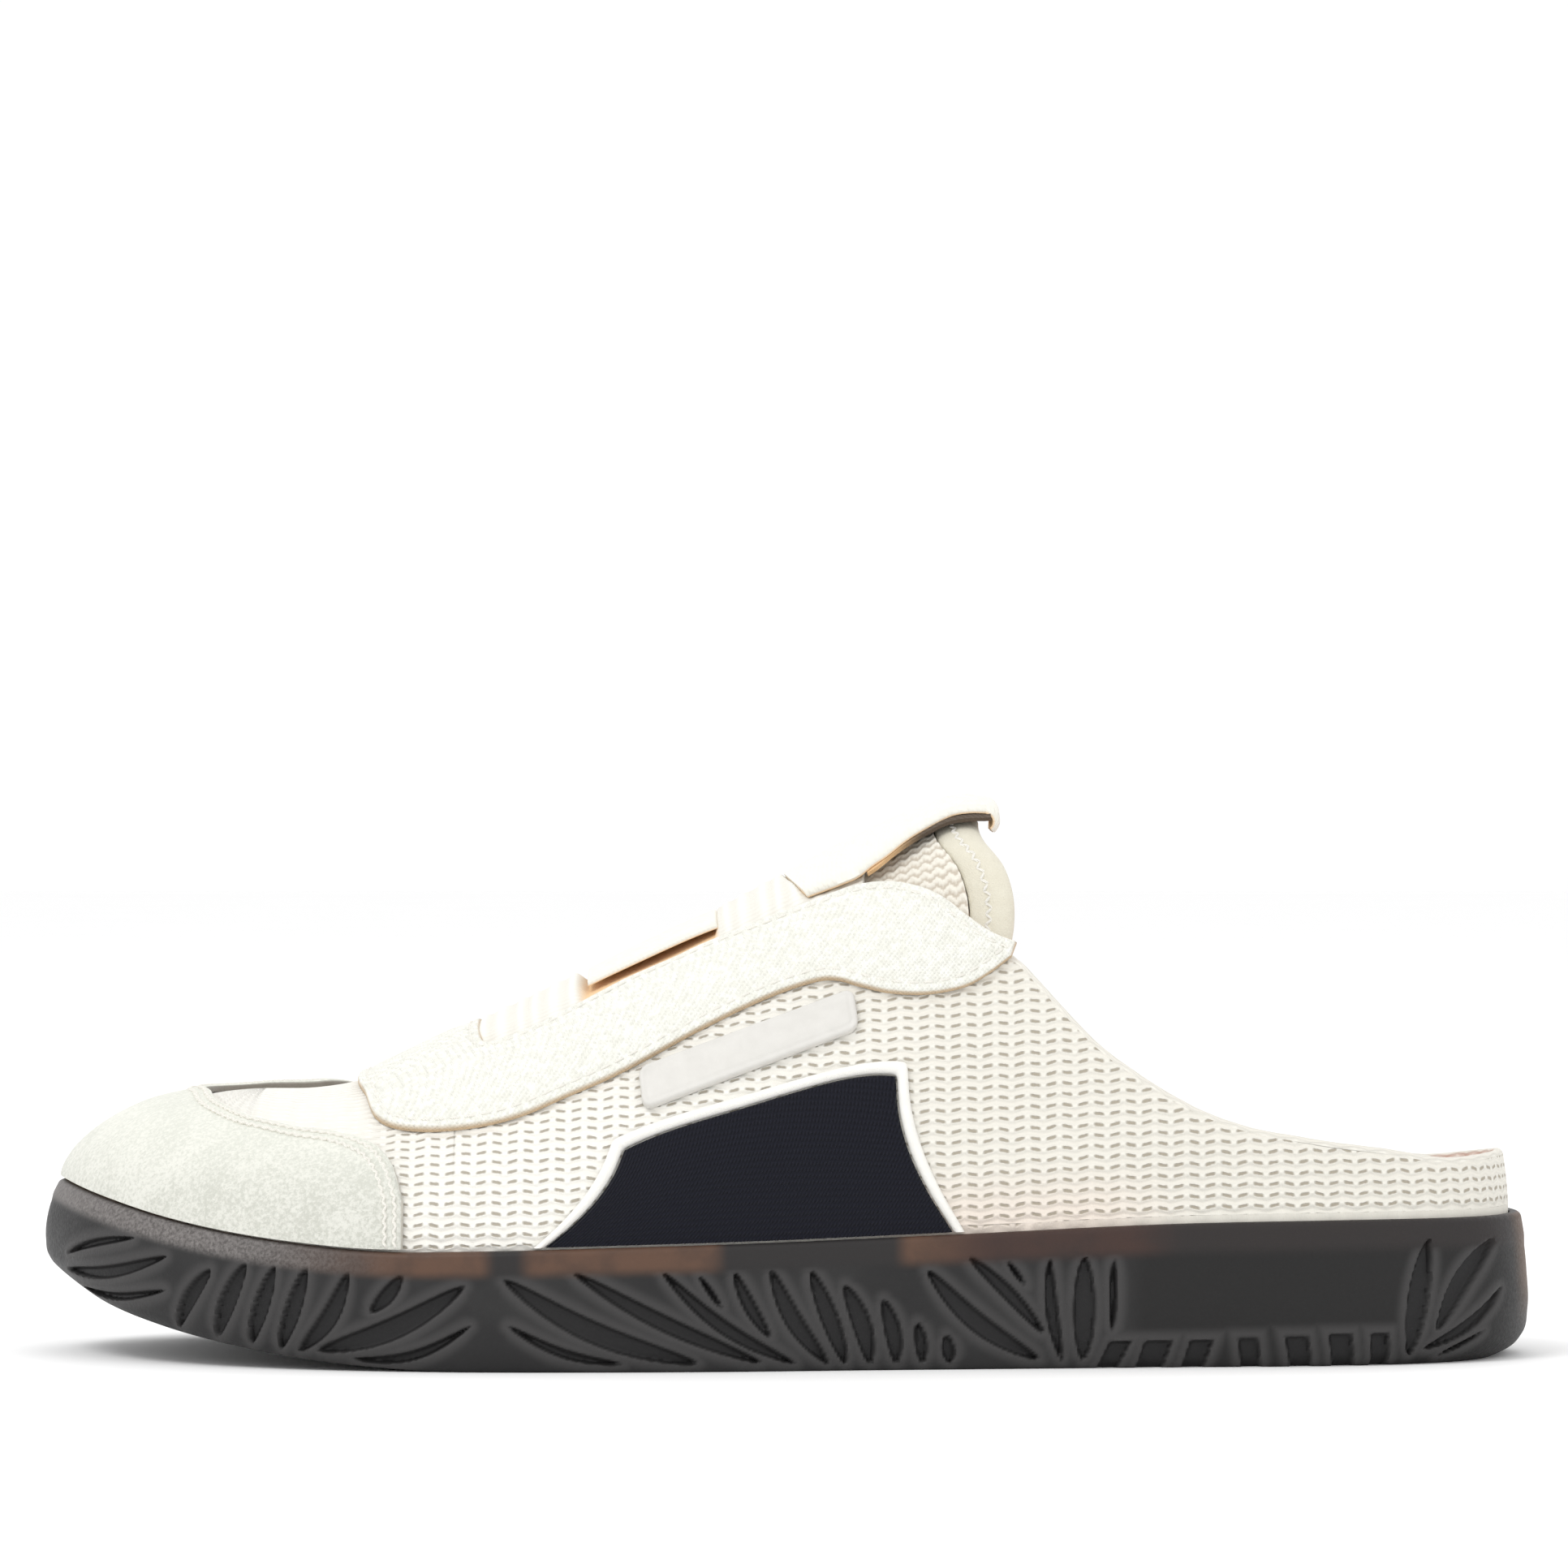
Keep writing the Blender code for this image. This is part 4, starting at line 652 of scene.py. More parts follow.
def turn_path(rows, count):
    """Both sides of an edge as one path of (along, turn), from the outer tip over the ridge to the inner tip."""
    half = [(row.along, float(rise_angle(row.along, row.rise))) for row in rows]
    path = np.array([*reversed(half), *[(along, math.pi - turn) for along, turn in half[1:]]])
    keys = np.arange(len(path), dtype=float)
    fine = np.linspace(0, len(path) - 1, count * 4)
    smoothed = np.column_stack([spline(keys, path[:, axis], fine) for axis in (0, 1)])
    scaled = smoothed * np.array([SOLE_LENGTH, BALL_WIDTH / 3])
    lengths = np.concatenate([[0], np.cumsum(np.linalg.norm(np.diff(scaled, axis=0), axis=1))])
    even = np.linspace(0, lengths[-1], count)
    return np.column_stack([np.interp(even, lengths, smoothed[:, axis]) for axis in (0, 1)])


def spline(keys, values, at):
    """A smooth curve through values at even keys."""
    slopes = np.gradient(values, keys)
    i = np.clip(np.floor(at).astype(int), 0, len(keys) - 2)
    t = at - i
    return (
        values[i] * (2 * t**3 - 3 * t**2 + 1)
        + values[i + 1] * (3 * t**2 - 2 * t**3)
        + slopes[i] * (t**3 - 2 * t**2 + t)
        + slopes[i + 1] * (t**3 - t**2)
    )


# Meshes from grids of points


def piece_of(name, node, points, faces, material, data=None, faceless=False):
    """A smooth-shaded object from arrays, riding on the model's body, with named values on its points."""
    mesh = bpy.data.meshes.new(name)
    mesh.from_pydata(np.asarray(points, float).tolist(), [], [list(face) for face in faces])
    for key, values in (data or {}).items():
        values = np.asarray(values, dtype=np.float32)
        if values.ndim == 2:
            mesh.attributes.new(key, "FLOAT_VECTOR", "POINT").data.foreach_set("vector", values.ravel())
        else:
            mesh.attributes.new(key, "FLOAT", "POINT").data.foreach_set("value", values)
    mesh.shade_smooth()
    mesh.set_sharp_from_angle(angle=SHARP_ANGLE)
    mesh.materials.append(material)
    made = bpy.data.objects.new(name, mesh)
    bpy.context.collection.objects.link(made)
    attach(made, "root")
    if node:
        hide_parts(node)
    return made


SHARP_ANGLE = math.radians(60)


def quads(columns, rows, ring=False):
    """Faces of a grid whose points are numbered column by column."""
    c = np.arange(columns if ring else columns - 1)
    r = np.arange(rows - 1)
    a, b = np.meshgrid(c, r, indexing="ij")
    d = (a + 1) % columns
    return np.stack([a * rows + b, d * rows + b, d * rows + b + 1, a * rows + b + 1], -1).reshape(-1, 4)


def slab_mesh(low, high, ring=False):
    """Points and faces of a closed solid between two grids of points."""
    columns, rows = low.shape[:2]
    points = np.concatenate([low.reshape(-1, 3), high.reshape(-1, 3)])
    half = columns * rows
    bottom = quads(columns, rows, ring)
    faces = [bottom[:, ::-1], bottom + half]
    c = np.arange(columns if ring else columns - 1)
    d = (c + 1) % columns
    for r, flip in ((0, 1), (rows - 1, -1)):
        wall = np.stack([c * rows + r, d * rows + r, d * rows + r + half, c * rows + r + half], -1)
        faces.append(wall[:, ::flip])
    if not ring:
        r = np.arange(rows - 1)
        for column, flip in ((0, -1), (columns - 1, 1)):
            at = column * rows + r
            wall = np.stack([at, at + 1, at + 1 + half, at + half], -1)
            faces.append(wall[:, ::flip])
    faces = np.concatenate(faces)
    return points, faces


def outward(points, faces):
    """The faces, turned so that the solid's volume is positive."""
    a, b, c, d = (points[faces[:, i]] for i in range(4))
    volume = np.sum(a * np.cross(b, c)) + np.sum(a * np.cross(c, d))
    return faces if volume > 0 else faces[:, ::-1]


EDGE_STEPS = np.array([0.0, 0.06, 0.2, 0.42, 0.7, 1.0])


def eased(count, edge):
    """Shares from 0 to 1 that crowd at both ends, where an edge of that share is rounded."""
    inner = np.linspace(edge, 1 - edge, count)
    return np.concatenate([EDGE_STEPS[:-1] * edge, inner, 1 - EDGE_STEPS[-2::-1] * edge])


def rim_distance(grid, sides=(True, True, True, True)):
    """How far each point of a grid of points is from the grid's first and last column and row."""
    flat = grid.reshape(-1, 3)
    borders = [grid[0], grid[-1], grid[:, 0], grid[:, -1]]
    path = np.concatenate([border for border, used in zip(borders, sides) if used])
    nearest = np.full(len(flat), np.inf)
    for start in range(0, len(path), 64):
        gaps = flat[:, None, :] - path[None, start:start + 64, :]
        nearest = np.minimum(nearest, np.sqrt(np.einsum("ijk,ijk->ij", gaps, gaps)).min(axis=1))
    return nearest.reshape(grid.shape[:2])


def rounded(distance, radius):
    """The share of a thickness that is left at a distance from a rounded edge."""
    t = np.clip(distance / radius, 0.0, 1.0)
    return np.sqrt(np.maximum(1 - (1 - t) ** 2, 0.0))


# Materials: a small way of wiring nodes, then one function for each kind of surface


class Surface:
    """One Principled material and the nodes that feed it."""

    def __init__(self, name, roughness, coat=0.0, sheen=0.0, specular=0.5):
        self.material = bpy.data.materials.new(name)
        self.material.use_nodes = True
        self.tree = self.material.node_tree
        self.shader = self.tree.nodes["Principled BSDF"]
        self.shader.inputs["Roughness"].default_value = roughness
        self.shader.inputs["Coat Weight"].default_value = coat
        self.shader.inputs["Sheen Weight"].default_value = sheen
        self.shader.inputs["Specular IOR Level"].default_value = specular

    def node(self, kind, inputs=(), **settings):
        made = self.tree.nodes.new(kind)
        for key, value in settings.items():
            setattr(made, key, value)
        for key, value in inputs:
            self.feed(made.inputs[key], value)
        return made

    def feed(self, socket, value):
        if isinstance(value, bpy.types.NodeSocket):
            self.tree.links.new(value, socket)
        else:
            socket.default_value = value

    def math(self, operation, *values):
        made = self.node("ShaderNodeMath", operation=operation)
        for socket, value in zip(made.inputs, values):
            self.feed(socket, value)
        return made.outputs[0]

    def ease(self, value, low, high, to_low=0.0, to_high=1.0):
        made = self.node("ShaderNodeMapRange", interpolation_type="SMOOTHSTEP")
        for socket, given in zip(made.inputs, (value, low, high, to_low, to_high)):
            self.feed(socket, given)
        return made.outputs[0]

    def mix(self, share, first, second):
        made = self.node("ShaderNodeMix", data_type="RGBA")
        for socket, given in zip((made.inputs[0], made.inputs[6], made.inputs[7]), (share, first, second)):
            self.feed(socket, (*given, 1.0) if isinstance(given, tuple) else given)
        return made.outputs[2]

    def noise(self, where, scale, detail=3.0, rough=0.55):
        made = self.node("ShaderNodeTexNoise", (("Vector", where), ("Scale", scale), ("Detail", detail), ("Roughness", rough)))
        return made.outputs[0]

    def cells(self, where, scale, feature="F1"):
        made = self.node("ShaderNodeTexVoronoi", (("Vector", where), ("Scale", scale)), feature=feature)
        return made.outputs[0]

    def number(self, name):
        return self.node("ShaderNodeAttribute", attribute_name=name).outputs["Fac"]

    def vector(self, name):
        return self.node("ShaderNodeAttribute", attribute_name=name).outputs["Vector"]

    def place(self):
        """The surface's own place in millimetres."""
        made = self.node("ShaderNodeTexCoord").outputs["Object"]
        scaled = self.node("ShaderNodeVectorMath", operation="SCALE")
        self.feed(scaled.inputs[0], made)
        scaled.inputs["Scale"].default_value = 1000.0
        return scaled.outputs[0]

    def split(self, vector):
        return self.node("ShaderNodeSeparateXYZ", ((0, vector),)).outputs

    def colour(self, value):
        self.feed(self.shader.inputs["Base Color"], (*value, 1.0) if isinstance(value, tuple) else value)

    def relief(self, height, depth_mm, strength=1.0):
        made = self.node("ShaderNodeBump", (("Height", height), ("Strength", strength), ("Distance", depth_mm * MM)))
        self.tree.links.new(made.outputs[0], self.shader.inputs["Normal"])

    def wave(self, phase):
        """From 0 to 1 and back, once for each whole step of the phase."""
        return self.math("MULTIPLY_ADD", self.math("COSINE", self.math("MULTIPLY", phase, 2 * math.pi)), -0.5, 0.5)


def knit_mesh():
    """Coarse knit: rows of short dark gaps between rounded courses of yarn, slanting by turns up and down. The gaps'
    darkness, the darker dips between the courses and the darker rear are painted shade.
    """
    made = Surface("knit_mesh", 0.92, sheen=0.15, specular=0.2)
    u, v, _ = made.split(made.vector("cloth"))
    where = made.vector("cloth")
    column = made.math("DIVIDE", u, 2.87)
    wobble = made.math("MULTIPLY_ADD", made.noise(where, 0.5, 2.0), 0.5, -0.25)
    row = made.math("ADD", made.math("DIVIDE", v, 2.03), made.math("MULTIPLY", wobble, 0.35))
    in_column = made.math("SUBTRACT", made.math("FRACT", column), 0.5)
    side = made.math("SUBTRACT", made.math("MULTIPLY", made.math("MODULO", made.math("FLOOR", column), 2.0), 2.0), 1.0)
    slant = made.math("MULTIPLY", made.math("MULTIPLY", in_column, side), 0.30)
    across_row = made.math("SUBTRACT", made.math("FRACT", made.math("ADD", row, slant)), 0.5)
    off_line = made.math("MULTIPLY", made.math("ABSOLUTE", across_row), 2.03)
    off_middle = made.math("MULTIPLY", made.math("ABSOLUTE", in_column), 2.87)
    swollen = made.ease(made.noise(where, 0.9, 2.0), 0.3, 0.7, 0.8, 1.2)
    gap = made.math("MULTIPLY", made.ease(made.math("DIVIDE", off_line, swollen), 0.46, 0.10),
                    made.ease(off_middle, 1.15, 0.55))
    open_share = made.number("open")
    gap = made.math("MULTIPLY", gap, open_share)
    shade = made.noise(where, 0.25, 2.0)
    x, _, _ = made.split(made.place())
    # Painted shade: the yarn darkens from the toe towards the heel, between x -20 and 40 mm
    yarn_shaded_rearward = made.mix(made.ease(x, -20.0, 40.0), (0.95, 0.94, 0.895), (0.825, 0.805, 0.74))
    yarn = made.mix(made.math("MULTIPLY", shade, 0.5), yarn_shaded_rearward, (0.82, 0.79, 0.70))
    course = made.wave(made.math("ADD", row, slant))
    # Painted shade: the yarn darkens in the dips between its rounded courses
    yarn = made.mix(made.math("MULTIPLY", made.math("SUBTRACT", 1.0, course), 0.19), yarn, (0.62, 0.57, 0.48))
    tinted = made.mix(made.math("MULTIPLY", made.number("blush"), 0.27), yarn, (0.88, 0.62, 0.50))
    # Painted shade: the knit's openings are dark, as if shaded inside them
    depth_shade = made.mix(made.math("MULTIPLY", gap, 0.86), tinted, (0.33, 0.285, 0.215))
    # Painted reflection: coral light from the insole on the heel lining
    inside = made.mix(made.number("coral_reflection"), depth_shade, (0.80, 0.28, 0.16))
    made.colour(inside)
    fibre = made.noise(where, 5.0, 2.0)
    height = made.math("ADD", made.math("MULTIPLY", course, 0.7), made.math("MULTIPLY", fibre, 0.22))
    height = made.math("SUBTRACT", height, made.math("MULTIPLY", gap, 0.6))
    made.relief(height, 0.5)
    return made.material


def suede():
    """Pale grey suede with a short nap, a little darker towards the sole."""
    made = Surface("suede", 0.95, sheen=0.35, specular=0.15)
    where = made.place()
    _, y, z = made.split(where)
    broad = made.noise(where, 0.10, 3.0)
    fine = made.noise(where, 1.3, 4.0, 0.7)
    tone = made.math("ADD", made.math("MULTIPLY", broad, 0.25), made.math("MULTIPLY", fine, 0.75))
    high = made.mix(made.ease(tone, 0.40, 0.60), (0.69, 0.70, 0.625), (0.81, 0.81, 0.735))
    low = made.mix(made.ease(tone, 0.40, 0.60), (0.56, 0.565, 0.505), (0.72, 0.72, 0.66))
    body = made.mix(made.ease(z, 47.0, 28.0), high, low)
    # The cut edge is grey on the near wing and nearly black on the far wing, where the black is a painted shadow line
    # under the wing's edge
    edge = made.mix(made.ease(y, 3.0, 9.0), (0.52, 0.49, 0.42), (0.11, 0.085, 0.065))
    made.colour(made.mix(made.ease(made.number("cut"), 0.3, 0.9, 0.0, 0.85), body, edge))
    made.relief(made.math("ADD", fine, made.math("MULTIPLY", made.noise(where, 5.0, 3.0), 0.5)), 0.22)
    return made.material


def canvas(name, light, dark, edge, pitch=0.62, depth=0.16):
    """Grainy coated canvas; its cut edge shows the tan core."""
    made = Surface(name, 0.85, sheen=0.1, specular=0.25)
    where = made.place()
    x, y, z = made.split(where)
    first = made.wave(made.math("DIVIDE", made.math("ADD", x, z), pitch * 1.41))
    second = made.wave(made.math("DIVIDE", made.math("SUBTRACT", made.math("ADD", x, made.math("MULTIPLY", y, 0.5)), z), pitch * 1.41))
    weave = made.math("MULTIPLY", first, second)
    pebble = made.cells(where, 1.1)
    tone = made.noise(where, 0.6, 4.0, 0.65)
    body = made.mix(made.ease(tone, 0.35, 0.68), dark, light)
    speck = made.ease(made.noise(where, 1.5, 4.0, 0.75), 0.56, 0.72, 0.0, 0.30)
    body = made.mix(speck, body, (0.60, 0.57, 0.48))
    shown = made.mix(made.number("cut"), body, edge)
    made.colour(shown)
    height = made.math("ADD", made.math("MULTIPLY", weave, 0.5), made.math("MULTIPLY", pebble, 0.7))
    made.relief(made.math("ADD", height, made.math("MULTIPLY", made.noise(where, 4.0), 0.4)), depth)
    return made.material


def webbing(name, light, dark, under, pitch=0.9):
    """Twill webbing, with a tan back that is painted shade: the warm shadow under the strap and the loop."""
    made = Surface(name, 0.82, sheen=0.15, specular=0.25)
    u, v, _ = made.split(made.vector("cloth"))
    where = made.vector("cloth")
    twill = made.wave(made.math("DIVIDE", made.math("ADD", u, made.math("MULTIPLY", v, 0.5)), pitch))
    cross = made.wave(made.math("DIVIDE", v, pitch * 0.7))
    tone = made.noise(where, 0.5, 3.0)
    body = made.mix(tone, dark, light)
    # Painted shade: the underside faces are tan
    made.colour(made.mix(made.number("under"), body, under))
    made.relief(made.math("ADD", made.math("MULTIPLY", twill, 0.6), made.math("MULTIPLY", cross, 0.4)), 0.1)
    return made.material


def backing_shade():
    """The loop's tan backing, darker towards the rear; its tan and its near-black rear are painted shadow under the
    loop.
    """
    made = Surface("backing_shade", 0.9, sheen=0.1, specular=0.15)
    where = made.place()
    x, y, _ = made.split(where)
    twill = made.wave(made.math("DIVIDE", made.math("ADD", x, y), 1.3))
    tone = made.mix(made.noise(where, 0.7), (0.66, 0.42, 0.21), (0.82, 0.56, 0.31))
    # Painted shadow: near-black from x 18 to 27 mm, under the loop's fold
    made.colour(made.mix(made.ease(x, 18.0, 27.0), tone, (0.10, 0.075, 0.055)))
    made.relief(made.math("ADD", twill, made.noise(where, 2.5)), 0.12)
    return made.material


def elastic():
    """Ribbed elastic; the ribs are in the mesh, and the fine cross threads are here."""
    made = Surface("elastic", 0.85, sheen=0.15, specular=0.2)
    u, v, _ = made.split(made.vector("cloth"))
    where = made.vector("cloth")
    thread = made.wave(made.math("DIVIDE", v, 0.8))
    # Painted shade: the elastic is darker between its ribs
    body = made.mix(made.number("rib"), (0.765, 0.75, 0.69), (0.865, 0.86, 0.81))
    shade = made.mix(made.math("MULTIPLY", made.noise(where, 0.7), 0.25), body, (0.74, 0.70, 0.62))
    # Painted shade: the gore is tan under the instep strap
    made.colour(made.mix(made.number("shade_under_strap"), shade, (0.86, 0.60, 0.34)))
    made.relief(made.math("ADD", thread, made.math("MULTIPLY", made.noise(where, 3.0), 0.5)), 0.12)
    return made.material


def tongue_knit():
    made = Surface("tongue_knit", 0.92, sheen=0.2, specular=0.2)
    where = made.vector("cloth")
    low = made.number("shaded_dip")
    # Painted shade: the tongue's knit darkens in the dips between its courses
    body = made.mix(low, (0.86, 0.83, 0.745), (0.54, 0.47, 0.38))
    made.colour(made.mix(made.math("MULTIPLY", made.noise(where, 0.8), 0.3), body, (0.80, 0.76, 0.67)))
    made.relief(made.noise(where, 4.0, 3.0), 0.18)
    return made.material


def plain_cloth(name, light, dark, scale=3.0, depth=0.08, roughness=0.8):
    made = Surface(name, roughness, sheen=0.15, specular=0.25)
    where = made.place()
    made.colour(made.mix(made.noise(where, 0.4, 4.0), dark, light))
    made.relief(made.math("ADD", made.noise(where, scale, 3.0), made.cells(where, scale * 1.3)), depth)
    return made.material


def matt_rubber():
    made = Surface("matt_rubber", 0.48, specular=0.45)
    where = made.place()
    made.colour(made.mix(made.noise(where, 0.35, 3.0), (0.60, 0.585, 0.55), (0.70, 0.685, 0.65)))
    made.relief(made.noise(where, 3.5, 3.0), 0.05)
    return made.material


def dark_rib_knit():
    """Near-black knit in fine upright ribs."""
    made = Surface("dark_rib_knit", 0.95, sheen=0.08, specular=0.1)
    u, v, _ = made.split(made.vector("cloth"))
    where = made.vector("cloth")
    rib = made.wave(made.math("DIVIDE", made.math("ADD", u, made.math("MULTIPLY", made.noise(where, 0.8), 0.35)), 0.72))
    stitch = made.wave(made.math("ADD", made.math("DIVIDE", v, 1.15), made.math("MULTIPLY", rib, 0.45)))
    height = made.math("ADD", made.math("MULTIPLY", rib, 0.75), made.math("MULTIPLY", stitch, 0.35))
    # Darker in the troughs between ribs and stitches as painted shade, with random tone from the noise
    tone = made.math("MULTIPLY", made.math("ADD", height, made.noise(where, 2.0)), 0.5)
    made.colour(made.mix(tone, (0.0035, 0.0035, 0.006), (0.017, 0.018, 0.027)))
    made.relief(height, 0.28)
    return made.material


def insole_cloth():
    made = Surface("insole_cloth", 0.9, sheen=0.2, specular=0.2)
    where = made.place()
    x, y, z = made.split(where)
    weave = made.math("MULTIPLY", made.wave(made.math("DIVIDE", x, 1.1)), made.wave(made.math("DIVIDE", y, 1.1)))
    made.colour(made.mix(made.noise(where, 0.3), (0.66, 0.20, 0.11), (0.82, 0.30, 0.18)))
    made.relief(weave, 0.15)
    return made.material


def sole_rubber():
    """Smoky rubber: dull black in the grooves, greyer on the ribs between them, brown where it is thin at lip and heel.
    The grooves' darker floors and edge lines are painted shade; the ribs' lighter grey is partly wear and partly
    painted sheen.
    """
    made = Surface("sole_rubber", 0.42, coat=0.0, specular=0.22)
    where = made.place()
    x, _, z = made.split(where)
    fine = made.noise(where, 1.6, 4.0, 0.65)
    broad = made.noise(where, 0.07, 3.0)
    face = made.mix(made.ease(broad, 0.3, 0.7), (0.0195, 0.019, 0.0195), (0.028, 0.0275, 0.0275))
    face = made.mix(made.ease(x, 62.0, 68.0), face, (0.0155, 0.015, 0.015))
    # Lighter ribs beside the grooves: partly wear, partly painted sheen
    ribs = made.mix(made.math("MULTIPLY", made.number("crest"), 0.85), face, (0.054, 0.052, 0.052))
    # Painted shade: the groove floors are a little darker
    depth_shade = made.mix(made.number("depth_shade"), ribs, (0.0175, 0.017, 0.0175))
    # Painted shade: thin dark lines along the groove edges
    rim = made.mix(made.math("MULTIPLY", made.number("groove_edge_shade"), 0.45), depth_shade, (0.005, 0.005, 0.005))
    smoky = made.math("MAXIMUM", made.ease(x, -53.0, -57.0), made.ease(x, -50.0, -46.0))
    smoky = made.math("MULTIPLY", smoky, made.math("MAXIMUM", made.ease(x, -10.0, -14.0), made.ease(x, 20.0, 24.0)))
    smoky = made.math("MULTIPLY", smoky, made.ease(x, 76.0, 64.0, 0.1, 1.0))
    patch = made.math("MULTIPLY", smoky, made.ease(made.noise(where, 0.12, 3.0), 0.25, 0.6, 0.6, 1.0))
    brown = made.mix(patch, (0.025, 0.023, 0.023), made.mix(made.ease(x, 22.0, 40.0), (0.108, 0.060, 0.040), (0.052, 0.030, 0.025)))
    lip = made.mix(made.number("lip"), rim, brown)
    toe = made.mix(made.number("toe_lip"), lip, made.mix(made.ease(fine, 0.3, 0.7), (0.09, 0.082, 0.079), (0.21, 0.195, 0.188)))
    heel = made.mix(made.number("heel"), toe, (0.15, 0.078, 0.038))
    made.colour(heel)
    rough = made.ease(fine, 0.2, 0.8, 0.38, 0.58)
    made.feed(made.shader.inputs["Roughness"], rough)
    made.relief(made.math("ADD", fine, made.math("MULTIPLY", made.noise(where, 0.5, 2.0), 0.6)), 0.07)
    return made.material


def thread(name, light, dark):
    made = Surface(name, 0.7, sheen=0.2, specular=0.3)
    where = made.place()
    x, y, z = made.split(where)
    twist = made.wave(made.math("DIVIDE", made.math("ADD", made.math("ADD", x, y), z), 0.34))
    made.colour(made.mix(twist, dark, light))
    made.relief(twist, 0.05)
    return made.material


# Pieces


def stitches(name, path, normals, length, pitch, width, height, material, lean=0.0, sink=0.1 * MM, phase=0.0):
    """A row of short raised threads along a path on a surface."""
    lengths = np.concatenate([[0], np.cumsum(norm(np.diff(path, axis=0))[:, 0])])
    places = np.arange(pitch * (0.5 + phase), lengths[-1] - pitch * 0.4, pitch)
    centres = np.stack([np.interp(places, lengths, path[:, i]) for i in range(3)], -1)
    ups = unit(np.stack([np.interp(places, lengths, normals[:, i]) for i in range(3)], -1))
    ahead = np.stack([np.interp(places + pitch / 4, lengths, path[:, i]) for i in range(3)], -1)
    runs = unit(ahead - centres)
    runs = unit(runs - ups * np.sum(runs * ups, -1, keepdims=True))
    cross = np.cross(ups, runs)
    runs, cross = (runs * math.cos(lean) + cross * math.sin(lean), cross * math.cos(lean) - runs * math.sin(lean))
    around, steps = 8, np.linspace(-1, 1, 7)
    angle = np.arange(around) * 2 * math.pi / around
    shape = []
    for t in steps:
        fat = max(1 - abs(t) ** 3, 0.05) ** 0.5
        shape.append(np.stack([np.full(around, t * length / 2), np.cos(angle) * width / 2 * fat,
                               np.sin(angle) * height * fat], -1))
    shape = np.concatenate(shape)
    one = quads(len(steps), around)
    wrap = []
    for i in range(len(steps) - 1):
        wrap.append([i * around + around - 1, (i + 1) * around + around - 1, (i + 1) * around, i * around])
    one = np.concatenate([one, np.array(wrap)])
    all_points, all_faces = [], []
    caps = []
    for k, (centre, run, side, up) in enumerate(zip(centres, runs, cross, ups)):
        arch = shape[:, :1] / (length / 2)
        lift = shape[:, 2:] + (1 - arch**2) * height * 0.35 - sink
        all_points.append(centre + run * shape[:, :1] + side * shape[:, 1:2] + up * lift)
        all_faces.append(one + k * len(shape))
        base = k * len(shape)
        caps.append(list(range(base, base + around))[::-1])
        caps.append(list(range(base + (len(steps) - 1) * around, base + len(steps) * around)))
    faces = [list(face) for face in np.concatenate(all_faces)] + caps
    made = piece_of(name, None, np.concatenate(all_points), faces, material)
    return made


def inward_path(border, normals, inside, distance, lift):
    """The border moved across the surface towards a point inside, and lifted."""
    run = unit(np.gradient(border, axis=0))
    side = unit(np.cross(normals, run))
    towards = np.sign(np.sum(side * (inside - border), -1, keepdims=True))
    return border + side * towards * distance + normals * lift


NOTCH_FOOT = 3 * MM


